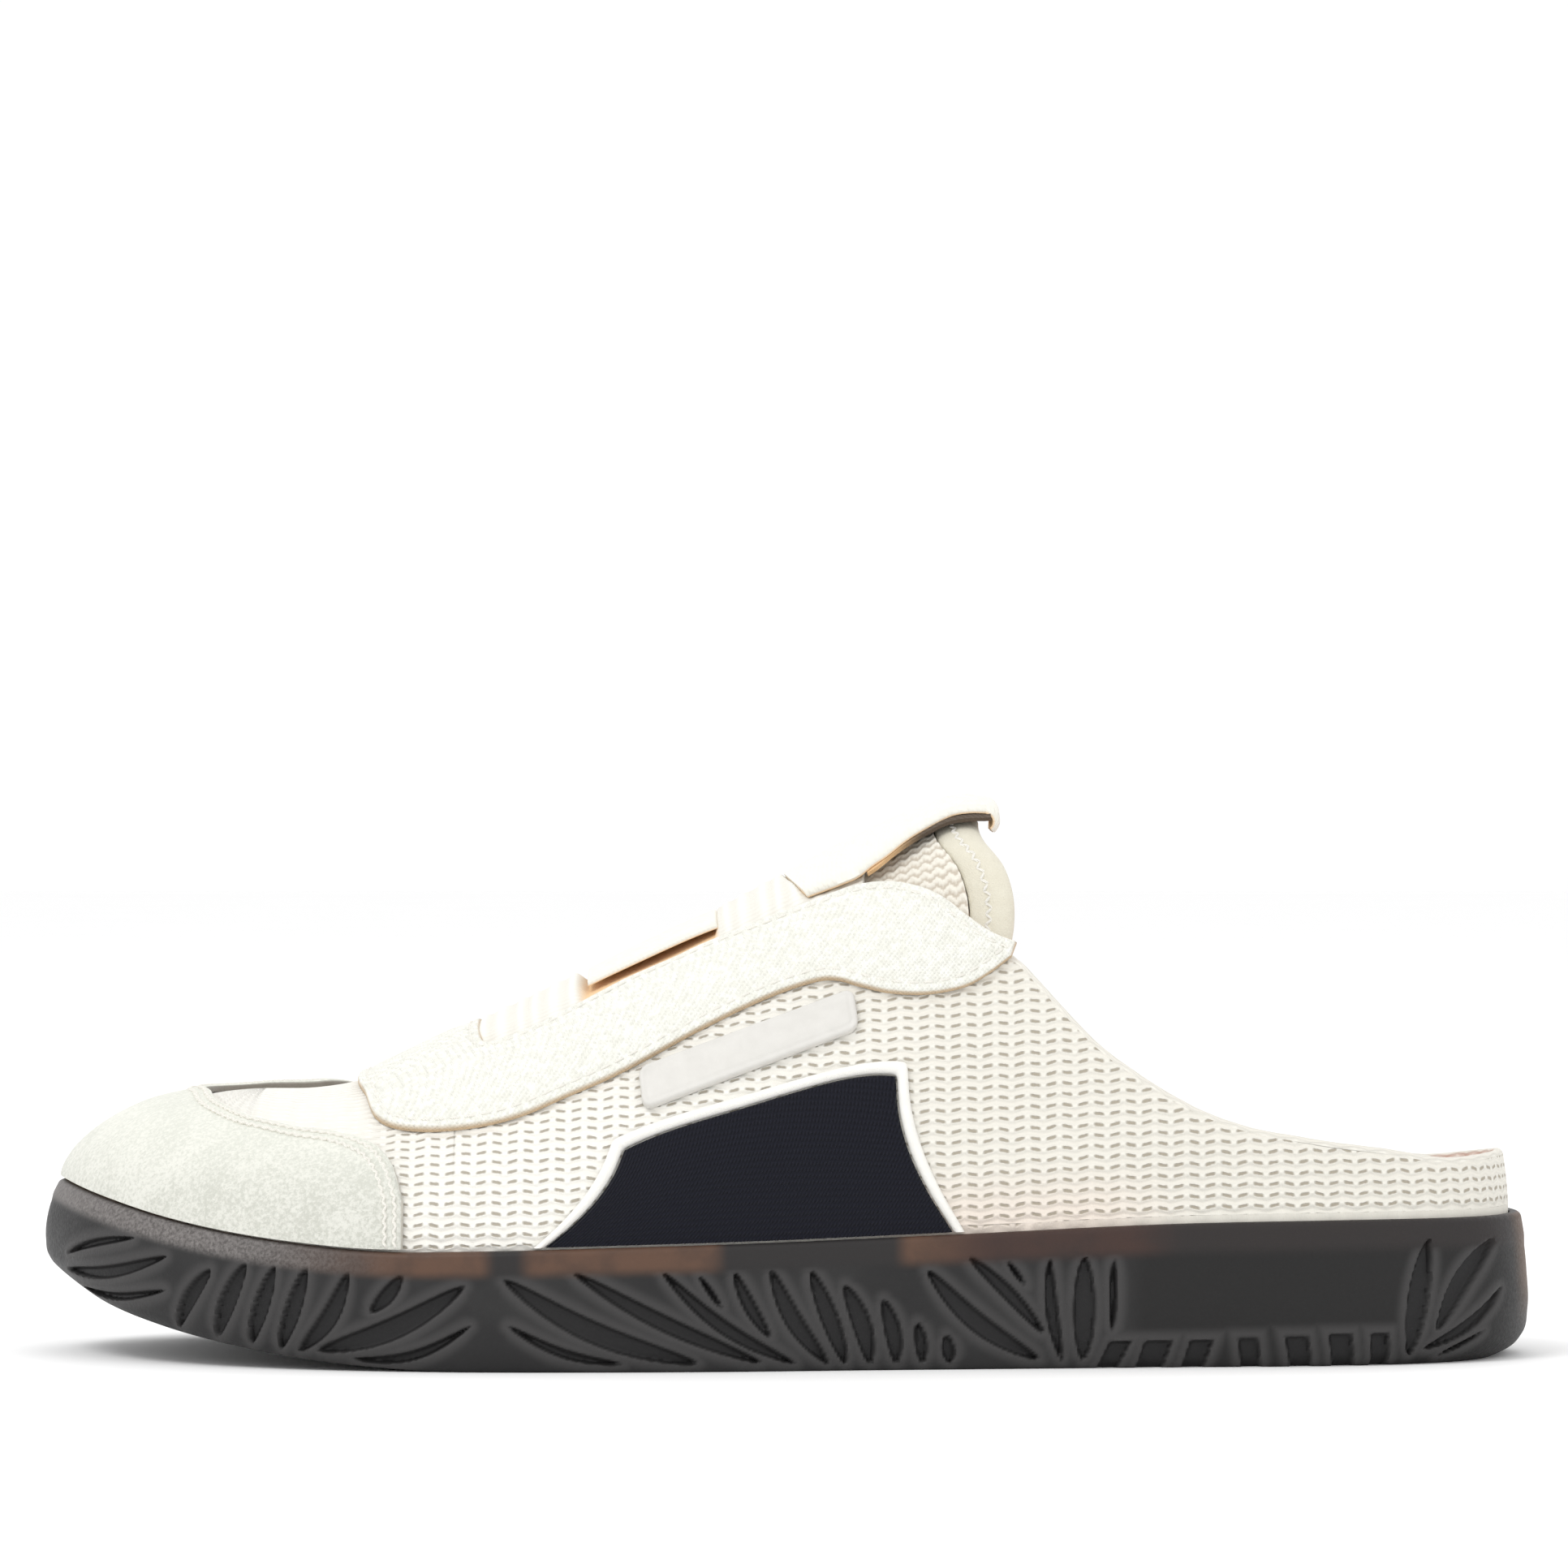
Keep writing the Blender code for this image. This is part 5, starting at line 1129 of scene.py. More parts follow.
def outsole():
    columns, rows = 1200, 62
    share = np.arange(columns) / columns
    heights = np.concatenate([np.linspace(0, 0.97, rows - 3), [0.985, 0.995, 1.0]])
    shares, high = np.meshgrid(share, heights, indexing="ij")
    along = sole_along(shares)
    wall = rim_height(along) - tread_height(along)
    perimeter = SOLE_LOOP.length
    flat_u, flat_v = shares * perimeter, high * wall
    inside = np.full(shares.shape, -1.0)
    for side in (OUTER, INNER):
        for row in GROOVES:
            ends = []
            for place, height in ((row.top_along, row.top_height), (row.foot_along, row.foot_height)):
                at = float(SOLE_LOOP.share_of(side, x_at(place)))
                ends.append(np.array([at * perimeter, height * float(rim_height(place) - tread_height(place))]))
            run = ends[1] - ends[0]
            sideways = np.array([run[1], -run[0]]) / np.linalg.norm(run) * side
            du, dv = flat_u - ends[0][0], flat_v - ends[0][1]
            t = (du * run[0] + dv * run[1]) / np.dot(run, run)
            s = du * sideways[0] + dv * sideways[1]
            ripple = np.sin(math.pi * np.clip(t, 0, 1))
            reach = row.width / 2 * ripple**GROOVE_BLUNT - abs(s - row.bow * ripple)
            beyond = np.maximum(np.maximum(-t, t - 1), 0) * np.linalg.norm(run)
            reach = np.where(beyond == 0, reach, -np.hypot(beyond, s) - 0.1 * MM)
            inside = np.maximum(inside, reach)
        for row in NOTCHES:
            corners = []
            for place, height in ((row.front, row.top), (row.back, row.top),
                                  (row.back + row.lean, row.foot), (row.front + row.lean, row.foot)):
                at = float(SOLE_LOOP.share_of(side, x_at(place)))
                corners.append(np.array([at * perimeter, height * float(rim_height(place) - tread_height(place))]))
            centre = sum(corners) / 4
            reach = np.full(shares.shape, 1.0)
            for edge, (a, b) in enumerate(zip(corners, [*corners[1:], corners[0]])):
                n = np.array([(b - a)[1], -(b - a)[0]])
                n = n / np.linalg.norm(n)
                if np.dot(n, centre - a) < 0:
                    n = -n
                past = NOTCH_FOOT if edge == 2 else 0.0
                reach = np.minimum(reach, (flat_u - a[0]) * n[0] + (flat_v - a[1]) * n[1] + past)
            inside = np.maximum(inside, reach)
    cut = smooth(-0.05 * MM, 0.55 * MM, inside)
    # Groove floors, which the rubber paints darker as shade
    floor = smooth(0.2 * MM, 0.8 * MM, inside)
    lip_foot = smooth(0.80, 0.83, high)
    lip_tone = smooth(0.75, 0.86, high)
    depth = (GROOVE_DEPTH + 0.3 * MM) * cut - 0.25 * MM * lip_tone
    depth += 0.55 * MM * np.clip((high - 0.97) / 0.03, 0, 1) ** 2
    # Ribs beside the grooves, painted lighter: partly wear, partly painted sheen
    crest = smooth(-2.6 * MM, -0.4 * MM, inside) * (1 - cut) * (1 - lip_foot)
    # Thin lines at the groove edges, painted dark as shade
    shade = smooth(0.32 * MM, 0.1 * MM, abs(inside - 0.3 * MM)) * (1 - lip_foot)
    points = wall_point(shares, high, depth)
    lip_out = points[:, -1]
    lip_in = np.concatenate([BED_LOOP.at(share), rim_height(sole_along(share))[:, None]], -1)
    bed = lip_in - np.array([0, 0, BED_DEPTH])
    rings = [between(lip_out, lip_in, t) for t in (0.33, 0.66, 1.0)] + [bed]
    for ring in rings[:2]:
        ring[:, 2] += 0.15 * MM
    columns_in = np.stack([*rings], 1)
    floor_rows = fan(bed, share, bed_height, 6)
    foot_rows = fan(points[:, 0], share, tread_height, 8)
    grid = np.concatenate([foot_rows[:, ::-1], points[:, 1:], columns_in, floor_rows[:, 1:]], 1)
    rows_all = grid.shape[1]
    faces = quads(columns, rows_all, ring=True)
    pad_low, pad_high = foot_rows.shape[1] - 1, rows_all - foot_rows.shape[1] + 1 - points.shape[1]

    def full(values, before=0.0, after=0.0):
        return np.concatenate([np.full((columns, pad_low), before), values,
                               np.full((columns, pad_high), after)], 1).ravel()

    back = smooth(0.985, 1.0, along) * smooth(0.15, 0.6, high)
    low_toe = 1 - smooth(0.12, 0.26, along)
    data = {
        "depth_shade": full(floor),
        "crest": full(crest),
        "groove_edge_shade": full(shade),
        "lip": full(lip_tone * (1 - low_toe), after=1.0),
        "toe_lip": full(lip_tone * low_toe, after=0.0),
        "heel": full(back * 0.6),
    }
    made = piece_of("cupsole", "outsole", grid.reshape(-1, 3), outward(grid.reshape(-1, 3), faces), sole_rubber(), data)
    return made


def bed_height(along):
    return rim_height(along) - BED_DEPTH


SPINE_FRONT = 0.16
SPINE_BACK = 0.86
SPINE_SIDE = 0.02


def fan(ring, share, height, steps, out=0.0):
    """Rows of points from a ring in to the spine of the sole."""
    place = sole_along(share)
    spine = np.clip(place, SPINE_FRONT, SPINE_BACK)
    middle = np.stack([x_at(spine), np.full(len(share), SPINE_SIDE * BALL_WIDTH), height(spine) + out], -1)
    edge = np.stack([ring[:, 0], ring[:, 1], height(place) + out], -1)
    return np.stack([between(edge, middle, t) for t in np.linspace(0, 1, steps + 1)], 1)


def insole():
    share = np.arange(360) / 360
    ring = INSOLE_LOOP.at(share)
    middle = np.array([[*INSOLE_LOOP.points.mean(axis=0)]])
    rows = []
    for lift, pull in ((0.0, 0.3), (0.3, 0.0), (2.6, 0.0), (3.2, 0.25), (3.55, 0.9), (3.6, 1.8)):
        inner = ring + unit(middle - ring) * pull * MM
        rows.append(np.concatenate([inner, (bed_height(sole_along(share)) + GAP + lift * MM)[:, None]], -1))
    top = fan(rows[-1][:, :2], share, bed_height, 14, GAP + INSOLE_THICK)
    foot = fan(rows[0][:, :2], share, bed_height, 4, GAP)
    grid = np.concatenate([foot[:, ::-1], np.stack(rows[1:], 1), top[:, 1:]], 1)
    faces = quads(len(share), grid.shape[1], ring=True)
    points = grid.reshape(-1, 3)
    made = piece_of("footbed", "insole", points, outward(points, faces), insole_cloth())
    return made


# Soft troughs of the worn shell: place along and height above the rim, half length, half width, slope and depth
Trough = namedtuple("Trough", "along height length width slope depth")
TROUGHS = (
    Trough(0.300, 0.20, 11 * MM, 3.0 * MM, 1.1, 0.45 * MM),
    Trough(0.330, 0.24, 12 * MM, 3.2 * MM, 1.2, 0.35 * MM),
    Trough(0.675, 0.26, 20 * MM, 7.0 * MM, -0.5, 0.9 * MM),
    Trough(0.760, 0.10, 26 * MM, 5.0 * MM, 0.05, 0.5 * MM),
    Trough(0.850, 0.06, 22 * MM, 4.0 * MM, 0.02, 0.4 * MM),
)


def troughs(points, share):
    """How far the shell sinks in at each of its points."""
    sunk = np.zeros(points.shape[:-1])
    for row in TROUGHS:
        for side in (OUTER, INNER):
            section = ridge_height(row.along) - rim_height(row.along)
            z = rim_height(row.along) + section * row.height
            dx, dz = points[..., 0] - x_at(row.along), points[..., 2] - z
            size = math.hypot(1, row.slope)
            run, off = (dx + dz * row.slope) / size, (dz - dx * row.slope) / size
            here = np.sign(points[..., 1]) == side
            sunk += here * row.depth * np.exp(-(run / row.length) ** 2 - (off / row.width) ** 2)
    return sunk


def upper():
    columns, rows = 540, 58
    share = np.arange(columns) / columns
    share = np.sort(np.concatenate([share, side_share(OUTER, np.array([0.2835, 0.2845])), side_share(INNER, np.array([0.2835, 0.2845]))]))
    columns = len(share)
    tops = shell_top(share)
    steps = np.linspace(0, 1, rows) ** 0.9
    shares = np.repeat(share[:, None], rows, 1)
    angles = tops[:, None] * steps[None, :]
    base = last_point(shares, angles)
    sunk = troughs(base, shares)
    points = off_last(shares, angles, -sunk)
    points[:, 0] = base[:, 0]
    inner = off_last(shares, angles, -UPPER_WALL - sunk)
    inner[:, 0] = base[:, 0] + (inner[:, 1] - points[:, 1])
    foot = points[:, :1] - np.array([0, 0, BED_DEPTH - GAP])
    inner_foot = inner[:, :1] - np.array([0, 0, BED_DEPTH - GAP])
    lengths = np.concatenate([np.zeros((columns, 1)), np.cumsum(norm(np.diff(base, axis=1))[..., 0], 1)], 1)
    around = shares * FEATHER_LOOP.length
    outer_grid = np.concatenate([foot, points], 1)
    inner_grid = np.concatenate([inner_foot, inner], 1)
    points_all, faces = slab_mesh(inner_grid, outer_grid, ring=True)
    cloth = np.stack([around / MM, lengths / MM, np.zeros_like(around)], -1)
    cloth = np.concatenate([cloth[:, :1] - np.array([0, 4.0, 0]), cloth], 1)
    x = outer_grid[..., 0]
    height = outer_grid[..., 2]
    shown = 0.12 + 0.88 * smooth(-0.0785, -0.0725, x)
    blush = smooth(0.010, 0.030, x) * (1 - smooth(0.055, 0.080, x)) * (1 - smooth(0.026, 0.040, height))
    # Painted reflection of the coral insole on the heel lining, between x 110 and 130 mm
    coral_reflection = 0.8 * smooth(0.110, 0.120, inner_grid[..., 0]) * (1 - smooth(0.120, 0.130, inner_grid[..., 0]))
    zero = np.zeros_like(x)
    data = {
        "cloth": np.concatenate([cloth.reshape(-1, 3), cloth.reshape(-1, 3)]),
        "open": np.concatenate([(shown * 0.55).ravel(), shown.ravel()]),
        "blush": np.concatenate([zero.ravel(), blush.ravel()]),
        "coral_reflection": np.concatenate([coral_reflection.ravel(), zero.ravel()]),
    }
    made = piece_of("shell", "upper", points_all, outward(points_all, faces), KNIT, data)
    collar_roll()
    return made


def collar_roll():
    """The folded edge of the knit around the collar, from one tip of the eyestay round the heel to the other."""
    start = float(side_share(OUTER, 0.628))
    stop = float(side_share(INNER, 0.628)) - 1.0
    share = np.linspace(start, stop, 420)
    angle = shell_top(share)
    middle = off_last(share, angle, np.full(len(share), -UPPER_WALL / 2))
    skin = off_last(share, angle, np.full(len(share), UPPER_WALL / 2))
    out = unit(skin - middle)
    run = unit(np.gradient(middle, axis=0))
    up = unit(np.cross(out, run))
    up = np.where(up[:, 2:] < 0, -up, up)
    count = 14
    turns = np.arange(count) * 2 * math.pi / count
    ends = np.clip(np.minimum(np.arange(len(share)), np.arange(len(share))[::-1]) / 8, 0.12, 1) ** 0.5
    grid = np.stack([middle + out * (math.cos(a) * 0.96 * MM * ends)[:, None]
                     + up * (math.sin(a) * 1.15 * MM * ends)[:, None] for a in turns], 1)
    around = np.concatenate([[0], np.cumsum(norm(np.diff(middle, axis=0))[:, 0])]) / MM
    cloth = np.stack([np.repeat(around[:, None], count, 1), np.repeat((turns * 1.4)[None, :] + 1.0, len(share), 0),
                      np.zeros((len(share), count))], -1)
    faces = tube_faces(len(share), count)
    points = grid.reshape(-1, 3)
    data = {"cloth": cloth.reshape(-1, 3), "open": np.full(len(points), 0.12),
            "blush": np.zeros(len(points)), "coral_reflection": np.zeros(len(points))}
    made = piece_of("collar_fold", None, points, faces, KNIT, data)
    return made


def tube_faces(stations, count):
    """Faces of a capped tube whose points are numbered ring by ring."""
    faces = []
    for s in range(stations - 1):
        for i in range(count):
            j = (i + 1) % count
            faces.append([s * count + i, s * count + j, (s + 1) * count + j, (s + 1) * count + i])
    faces.append(list(range(count))[::-1])
    faces.append(list(range((stations - 1) * count, stations * count)))
    return faces


def raised(name, node, spots, surface, low_out, thick, radius, material, extra=None, sides=(True,) * 4, bump=None):
    """A closed overlay on a surface with rounded edges; spots are the grid's two coordinates."""
    first, second = spots
    base = surface(first, second, np.full(first.shape, low_out))
    distance = rim_distance(base, sides)
    share = rounded(distance, radius)
    top = low_out + thick * (0.35 + 0.65 * share)
    if bump is not None:
        top = top + bump(base, distance)
    high = surface(first, second, top)
    points, faces = slab_mesh(base, high)
    cut = 1 - smooth(0.0, radius * 0.5, distance)
    steps_u = np.concatenate([np.zeros((1, first.shape[1])), np.cumsum(norm(np.diff(base, axis=0))[..., 0], 0)]) / MM
    steps_v = np.concatenate([np.zeros((first.shape[0], 1)), np.cumsum(norm(np.diff(base, axis=1))[..., 0], 1)], 1) / MM
    cloth = np.stack([steps_u, steps_v, np.zeros_like(steps_u)], -1).reshape(-1, 3)
    # under marks the underside faces, which the webbing paints tan as shade
    data = {"cut": np.concatenate([np.ones(cut.size), (cut**1.5).ravel()]), "cloth": np.concatenate([cloth, cloth]),
            "under": np.concatenate([np.ones(cut.size), np.zeros(cut.size)])}
    for key, values in (extra or {}).items():
        data[key] = np.concatenate([np.zeros(values.size), values.ravel()])
    made = piece_of(name, node, points, outward(points, faces), material, data)
    return made


def toe_cap():
    cap_outer, cap_inner = curve(CAP_OUTER, "rise"), curve(CAP_INNER, "rise")
    ends = [float(side_share(OUTER, CAP_OUTER[-1].along)), float(side_share(INNER, CAP_INNER[-1].along))]
    t = eased(300, 0.012)
    t = t + 0.02 * np.sin(2 * math.pi * t) * -1
    share = between(ends[0], ends[1], t)
    tip = FEATHER_LOOP.tip / OUTLINE_SAMPLES
    along = along_at(FEATHER_LOOP.at(share)[:, 0])
    rise = np.where(share < tip, cap_outer(along), cap_inner(along))
    foot_angle = rise_angle(along, 2 * GAP / (TOE_BOX_TOP - rim_height(along)))
    top_angle = rise_angle(along, rise)
    rows = eased(44, 0.05)
    angles = foot_angle[:, None] + (top_angle - foot_angle)[:, None] * rows[None, :]
    shares = np.repeat(share[:, None], len(rows), 1)

    def bump(base, distance):
        sew = np.exp(-((distance - 1.3 * MM) / (0.45 * MM)) ** 2) + np.exp(-((distance - 3.2 * MM) / (0.45 * MM)) ** 2)
        puff = 0.5 * MM * smooth(3.5 * MM, 12 * MM, distance)
        return puff - 0.28 * MM * sew

    sides = (True, True, False, True)
    made = raised("mudguard", "toe_cap", (shares, angles), off_last, GAP, TOE_CAP_THICK, 0.9 * MM,
                  suede(), sides=sides, bump=bump)
    top = TOE_CAP_THICK + GAP
    border_angle = top_angle
    border = off_last(share, border_angle, np.full(len(share), top))
    above = off_last(share, border_angle, np.full(len(share), top + MM))
    normals = unit(above - border)
    middle = off_last(share, (foot_angle + top_angle) / 2, np.full(len(share), top))
    first_side = off_last(np.full(30, share[0]), np.linspace(foot_angle[0], top_angle[0], 30), np.full(30, top))
    last_side = off_last(np.full(30, share[-1]), np.linspace(top_angle[-1], foot_angle[-1], 30), np.full(30, top))
    first_up = off_last(np.full(30, share[0]), np.linspace(foot_angle[0], top_angle[0], 30), np.full(30, top + MM))
    last_up = off_last(np.full(30, share[-1]), np.linspace(top_angle[-1], foot_angle[-1], 30), np.full(30, top + MM))
    path = np.concatenate([first_side[:-1], border, last_side[1:]])
    ups = unit(np.concatenate([first_up[:-1], above, last_up[1:]]) - path)
    inside = np.concatenate([np.repeat(middle[6:7], 29, 0), middle, np.repeat(middle[-7:-6], 29, 0)])
    for number, (distance, lean, phase) in enumerate(((1.3, 0.5, 0.0), (1.3, -0.5, 0.5), (3.2, 0.5, 0.0), (3.2, -0.5, 0.5))):
        row = tidy_path(inward_path(path, ups, inside, distance * MM, -0.12 * MM))
        stitches(f"cap_stitch_{number}", row, spread(ups, len(row)), 1.7 * MM, 1.9 * MM, 0.6 * MM, 0.36 * MM, THREAD,
                 lean=lean, phase=phase)
    return made


def tidy_path(path, count=600):
    """The path smoothed and sampled evenly, so that an offset past a tight corner doesn't fold back."""
    for _ in range(12):
        path = np.concatenate([path[:1], (path[:-2] + 2 * path[1:-1] + path[2:]) / 4, path[-1:]])
    lengths = np.concatenate([[0], np.cumsum(norm(np.diff(path, axis=0))[:, 0])])
    even = np.linspace(0, lengths[-1], count)
    return np.stack([np.interp(even, lengths, path[:, i]) for i in range(3)], -1)


def spread(rows, count):
    """The same rows, sampled to another count."""
    share = np.linspace(0, 1, len(rows))
    return np.stack([np.interp(np.linspace(0, 1, count), share, rows[:, i]) for i in range(3)], -1)


def border_stitches(name, border, away, distance, material, length=2.1, pitch=3.0, width=0.55, height=0.26, out=0.0, lean=0.0):
    """Stitches that follow an edge given as (along, turn), a distance inside it towards another such path."""
    skin = off_section(border[:, 0], border[:, 1], np.full(len(border), out))
    above = off_section(border[:, 0], border[:, 1], np.full(len(border), out + MM))
    normals = unit(above - skin)
    inside = off_section(away[:, 0], away[:, 1], np.full(len(border), out))
    path = tidy_path(inward_path(skin, normals, inside, distance, -0.12 * MM))
    return stitches(name, path, spread(normals, len(path)), length * MM, pitch * MM, width * MM, height * MM, material, lean=lean)


def eyestay():
    count = 560
    outer, inner = turn_path(EYESTAY_OUTER, count), turn_path(EYESTAY_INNER, count)
    rows = eased(16, 0.09)
    first = outer[:, :1] + (inner[:, :1] - outer[:, :1]) * rows[None, :]
    second = outer[:, 1:] + (inner[:, 1:] - outer[:, 1:]) * rows[None, :]

    def bump(base, distance):
        sew = np.exp(-((distance - 2.0 * MM) / (0.6 * MM)) ** 2)
        return 0.35 * MM * smooth(2.5 * MM, 7 * MM, distance) - 0.25 * MM * sew

    made = raised("eyestay_overlay", "eyestay", (first, second), off_section, GAP, EYESTAY_THICK,
                  0.9 * MM, CANVAS, bump=bump)
    out = GAP + EYESTAY_THICK
    border_stitches("eyestay_stitch_outer", outer, inner, 2.0 * MM, THREAD, out=out)
    border_stitches("eyestay_stitch_inner", inner, outer, 2.0 * MM, THREAD, out=out)
    return made


throat_edge = curve(EYESTAY_INNER[3:], "rise")
GORE_START = 0.294
GORE_EASE = 0.006
GORE_CLEAR = 1.5 * MM
RIB_PITCH = 3.3 * MM


def gore():
    columns, rows = 420, 46
    along = np.linspace(GORE_START, GORE_BACK, columns)
    section = ridge_height(along) - rim_height(along)
    edge = rise_angle(along, topline(along)) + GORE_CLEAR / section
    first = np.repeat(along[:, None], rows, 1)
    second = edge[:, None] + (math.pi - 2 * edge)[:, None] * np.linspace(0, 1, rows)[None, :]
    covered = rise_angle(first, throat_edge(first))
    swell = smooth(0, 6 * TURN_STEP, np.minimum(second, math.pi - second) - covered)
    under_strap = smooth(STRAP_FRONT - GORE_EASE, STRAP_FRONT, first) * (1 - smooth(STRAP_BACK, STRAP_BACK + GORE_EASE, first))
    loop_turns = strap_turns(np.array([LOOP[0].along]), np.array([LOOP[0].width]), 2)[0]
    side = np.clip((second - math.pi / 2) / (loop_turns[1] - math.pi / 2), -1, 1)
    loop_front = LOOP[0].along + LOOP_SLANT / SOLE_LENGTH * side**2
    under_loop = smooth(loop_front - GORE_EASE / 3, loop_front + GORE_EASE / 3, first)
    crown = GORE_CROWN * swell * (1 - under_strap) * (1 - under_loop) * smooth(GORE_START - 2 * GORE_EASE, GORE_START + GORE_EASE, first)
    phase = first * SOLE_LENGTH / RIB_PITCH + 0.12 * np.sin(first * 190)
    rib = (0.5 + 0.5 * np.cos(2 * math.pi * phase)) ** 1.4
    crown = crown - 0.40 * MM * (1 - rib) * swell * (1 - under_strap) - 0.8 * MM * under_strap * swell
    high = off_section(first, second, crown - GAP)
    low = off_section(first, second, crown - GAP - 1.1 * MM)
    points, faces = slab_mesh(low, high)
    cloth = np.stack([first * SOLE_LENGTH / MM, second * 35.0, np.zeros_like(first)], -1).reshape(-1, 3)
    # The gore's part under the strap is painted tan as shade
    data = {"cloth": np.concatenate([cloth, cloth]), "rib": np.concatenate([rib.ravel(), rib.ravel()]),
            "shade_under_strap": np.concatenate([under_strap.ravel(), under_strap.ravel()])}
    made = piece_of("ribbed_gore", "throat_gore", points, outward(points, faces), elastic(), data)
    return made


def strap_turns(along, width, rows):
    """Turns across the ridge whose points lie evenly over a strap's width."""
    step = 0.1
    arc = norm(section_point(along, np.full_like(along, math.pi / 2 - step)) - section_point(along, np.full_like(along, math.pi / 2)))[:, 0]
    half = np.minimum(width / 2 / (arc / step), 1.0)
    return math.pi / 2 + half[:, None] * np.linspace(-1, 1, rows)[None, :]


STRAP_TAPER = 0.14


def instep_strap():
    t = eased(90, 0.02)
    along = between(STRAP_FRONT + GORE_EASE / 4, STRAP_BACK + GORE_EASE * 0.7, t)
    rows = 30
    turns = strap_turns(along, STRAP_WIDTH * (1.02 - STRAP_TAPER * t), rows)
    first = np.repeat(along[:, None], rows, 1)
    lift = (STRAP_LIFT * np.maximum(np.sin(math.pi * t**1.4), 0) ** 0.7)[:, None] * np.ones((1, rows))

    def surface(a, b, out):
        return off_section(a, b, out + lift + GAP)

    return raised("bridge_strap", "instep_strap", (first, turns), surface, 0.0, STRAP_THICK,
                  0.5 * MM, WEB)


tongue_edge = curve(TONGUE_EDGE, "along", "angle")


def tongue_out(along, turn):
    """How far the tongue's outer face stands off the last: under the shell's wall, then puffed up at its free end."""
    free = np.clip((along - TONGUE_RISE_FROM) / (TONGUE_RISE_TO - TONGUE_RISE_FROM), 0.0, 1.0)
    covered = rise_angle(along, throat_edge(along))
    angle = np.minimum(turn, math.pi - turn)
    open_part = np.clip((angle - covered - TURN_STEP * 2) / (TURN_STEP * 6), 0.0, 1.0)
    open_part = open_part**2 * (3 - 2 * open_part)
    return -(UPPER_WALL + GAP + FACET_ROOM) * (1 - free**2 * (3 - 2 * free) * open_part)


TONGUE_COURSE = 2.5
TONGUE_WALE = 1.75


def tongue():
    rows, columns = 190, 190
    turn = np.radians(np.linspace(TONGUE_EDGE[0].angle, TONGUE_EDGE[-1].angle, rows))
    end = tongue_edge(np.degrees(turn)) - (BINDING_WIDTH + GAP) / SOLE_LENGTH
    t = np.linspace(0, 1, columns) ** 0.6
    first = TONGUE_FRONT + (end[None, :] - TONGUE_FRONT) * t[:, None]
    second = np.repeat(turn[None, :], columns, 0)
    out = tongue_out(first, second)
    shown = smooth(0.548, 0.560, first)
    u = first * SOLE_LENGTH / MM / TONGUE_COURSE
    v = (second - math.pi / 2) * 40.0 / TONGUE_WALE
    zig = np.abs((u % 1.0) - 0.5) * 2
    knot = 0.5 + 0.5 * np.cos(2 * math.pi * (v + 0.45 * zig))
    knot = knot**0.8 * (0.65 + 0.35 * np.sin(math.pi * (u % 1.0)))
    puff = 0.7 * MM * shown * np.sin(math.pi * np.clip((first - 0.585) / 0.07, 0, 1))
    relief = 0.45 * MM * (knot - 0.6) * shown
    high = off_section(first, second, out + relief + puff * 0.4)
    low = off_section(first, second, out - TONGUE_THICK)
    points, faces = slab_mesh(low, high)
    cloth = np.stack([u * TONGUE_COURSE, v * TONGUE_WALE, np.zeros_like(u)], -1).reshape(-1, 3)
    # Painted shade in the knit's dips
    shaded_dip = (1 - smooth(0.12, 0.55, knot)) * shown
    data = {"cloth": np.concatenate([cloth, cloth]), "shaded_dip": np.concatenate([np.zeros(shaded_dip.size), shaded_dip.ravel()])}
    made = piece_of("padded_tongue", "tongue", points, outward(points, faces), tongue_knit(), data)
    return made


def tongue_binding():
    rows, columns = 150, 40
    turn = np.radians(np.linspace(TONGUE_EDGE[0].angle, TONGUE_EDGE[-1].angle, rows))
    width = np.linspace(0, 1, columns) ** 0.8
    end = tongue_edge(np.degrees(turn))
    first = end[None, :] - (BINDING_WIDTH * (1 - width[:, None])) / SOLE_LENGTH
    second = np.repeat(turn[None, :], columns, 0)
    thick = np.sqrt(np.maximum(1 - np.clip((width - 0.35) / 0.65, 0, 1) ** 2.2, 0.0)) * 0.96 + 0.04
    thick *= 0.86 + 0.14 * np.clip(width / 0.12, 0, 1) ** 0.5
    middle = tongue_out(first, second) - TONGUE_THICK / 2
    half = (TONGUE_THICK / 2 * thick)[:, None] * np.ones((1, rows))
    sew = np.exp(-((width - 0.42) / 0.07) ** 2)[:, None] * 0.25 * MM
    grow = 0.35 * MM * np.sin(math.pi * np.clip(width, 0, 1))[:, None]
    high = off_section(first, second, middle + half - sew + grow)
    low = off_section(first, second, middle - half)
    points, faces = slab_mesh(low, high)
    made = piece_of("tongue_roll", "tongue_binding", points, outward(points, faces), BINDING)
    row = int(np.argmin(abs(width - 0.42)))
    path, ups = high[row], unit(off_section(first[row], second[row], middle[row] + half[row] + MM) - high[row])
    for number, lean in enumerate((0.75, -0.75)):
        stitches(f"binding_stitch_{number}", path, ups, 2.1 * MM, 2.5 * MM, 0.62 * MM, 0.36 * MM, THREAD,
                 lean=lean, phase=0.5 * number)
    return made


loop_lift, loop_width = curve(LOOP, "lift"), curve(LOOP, "width")


BACKING_FRONT = 0.556
BACKING_REAR = 0.639
BACKING_SHOWS = 1.3 * MM


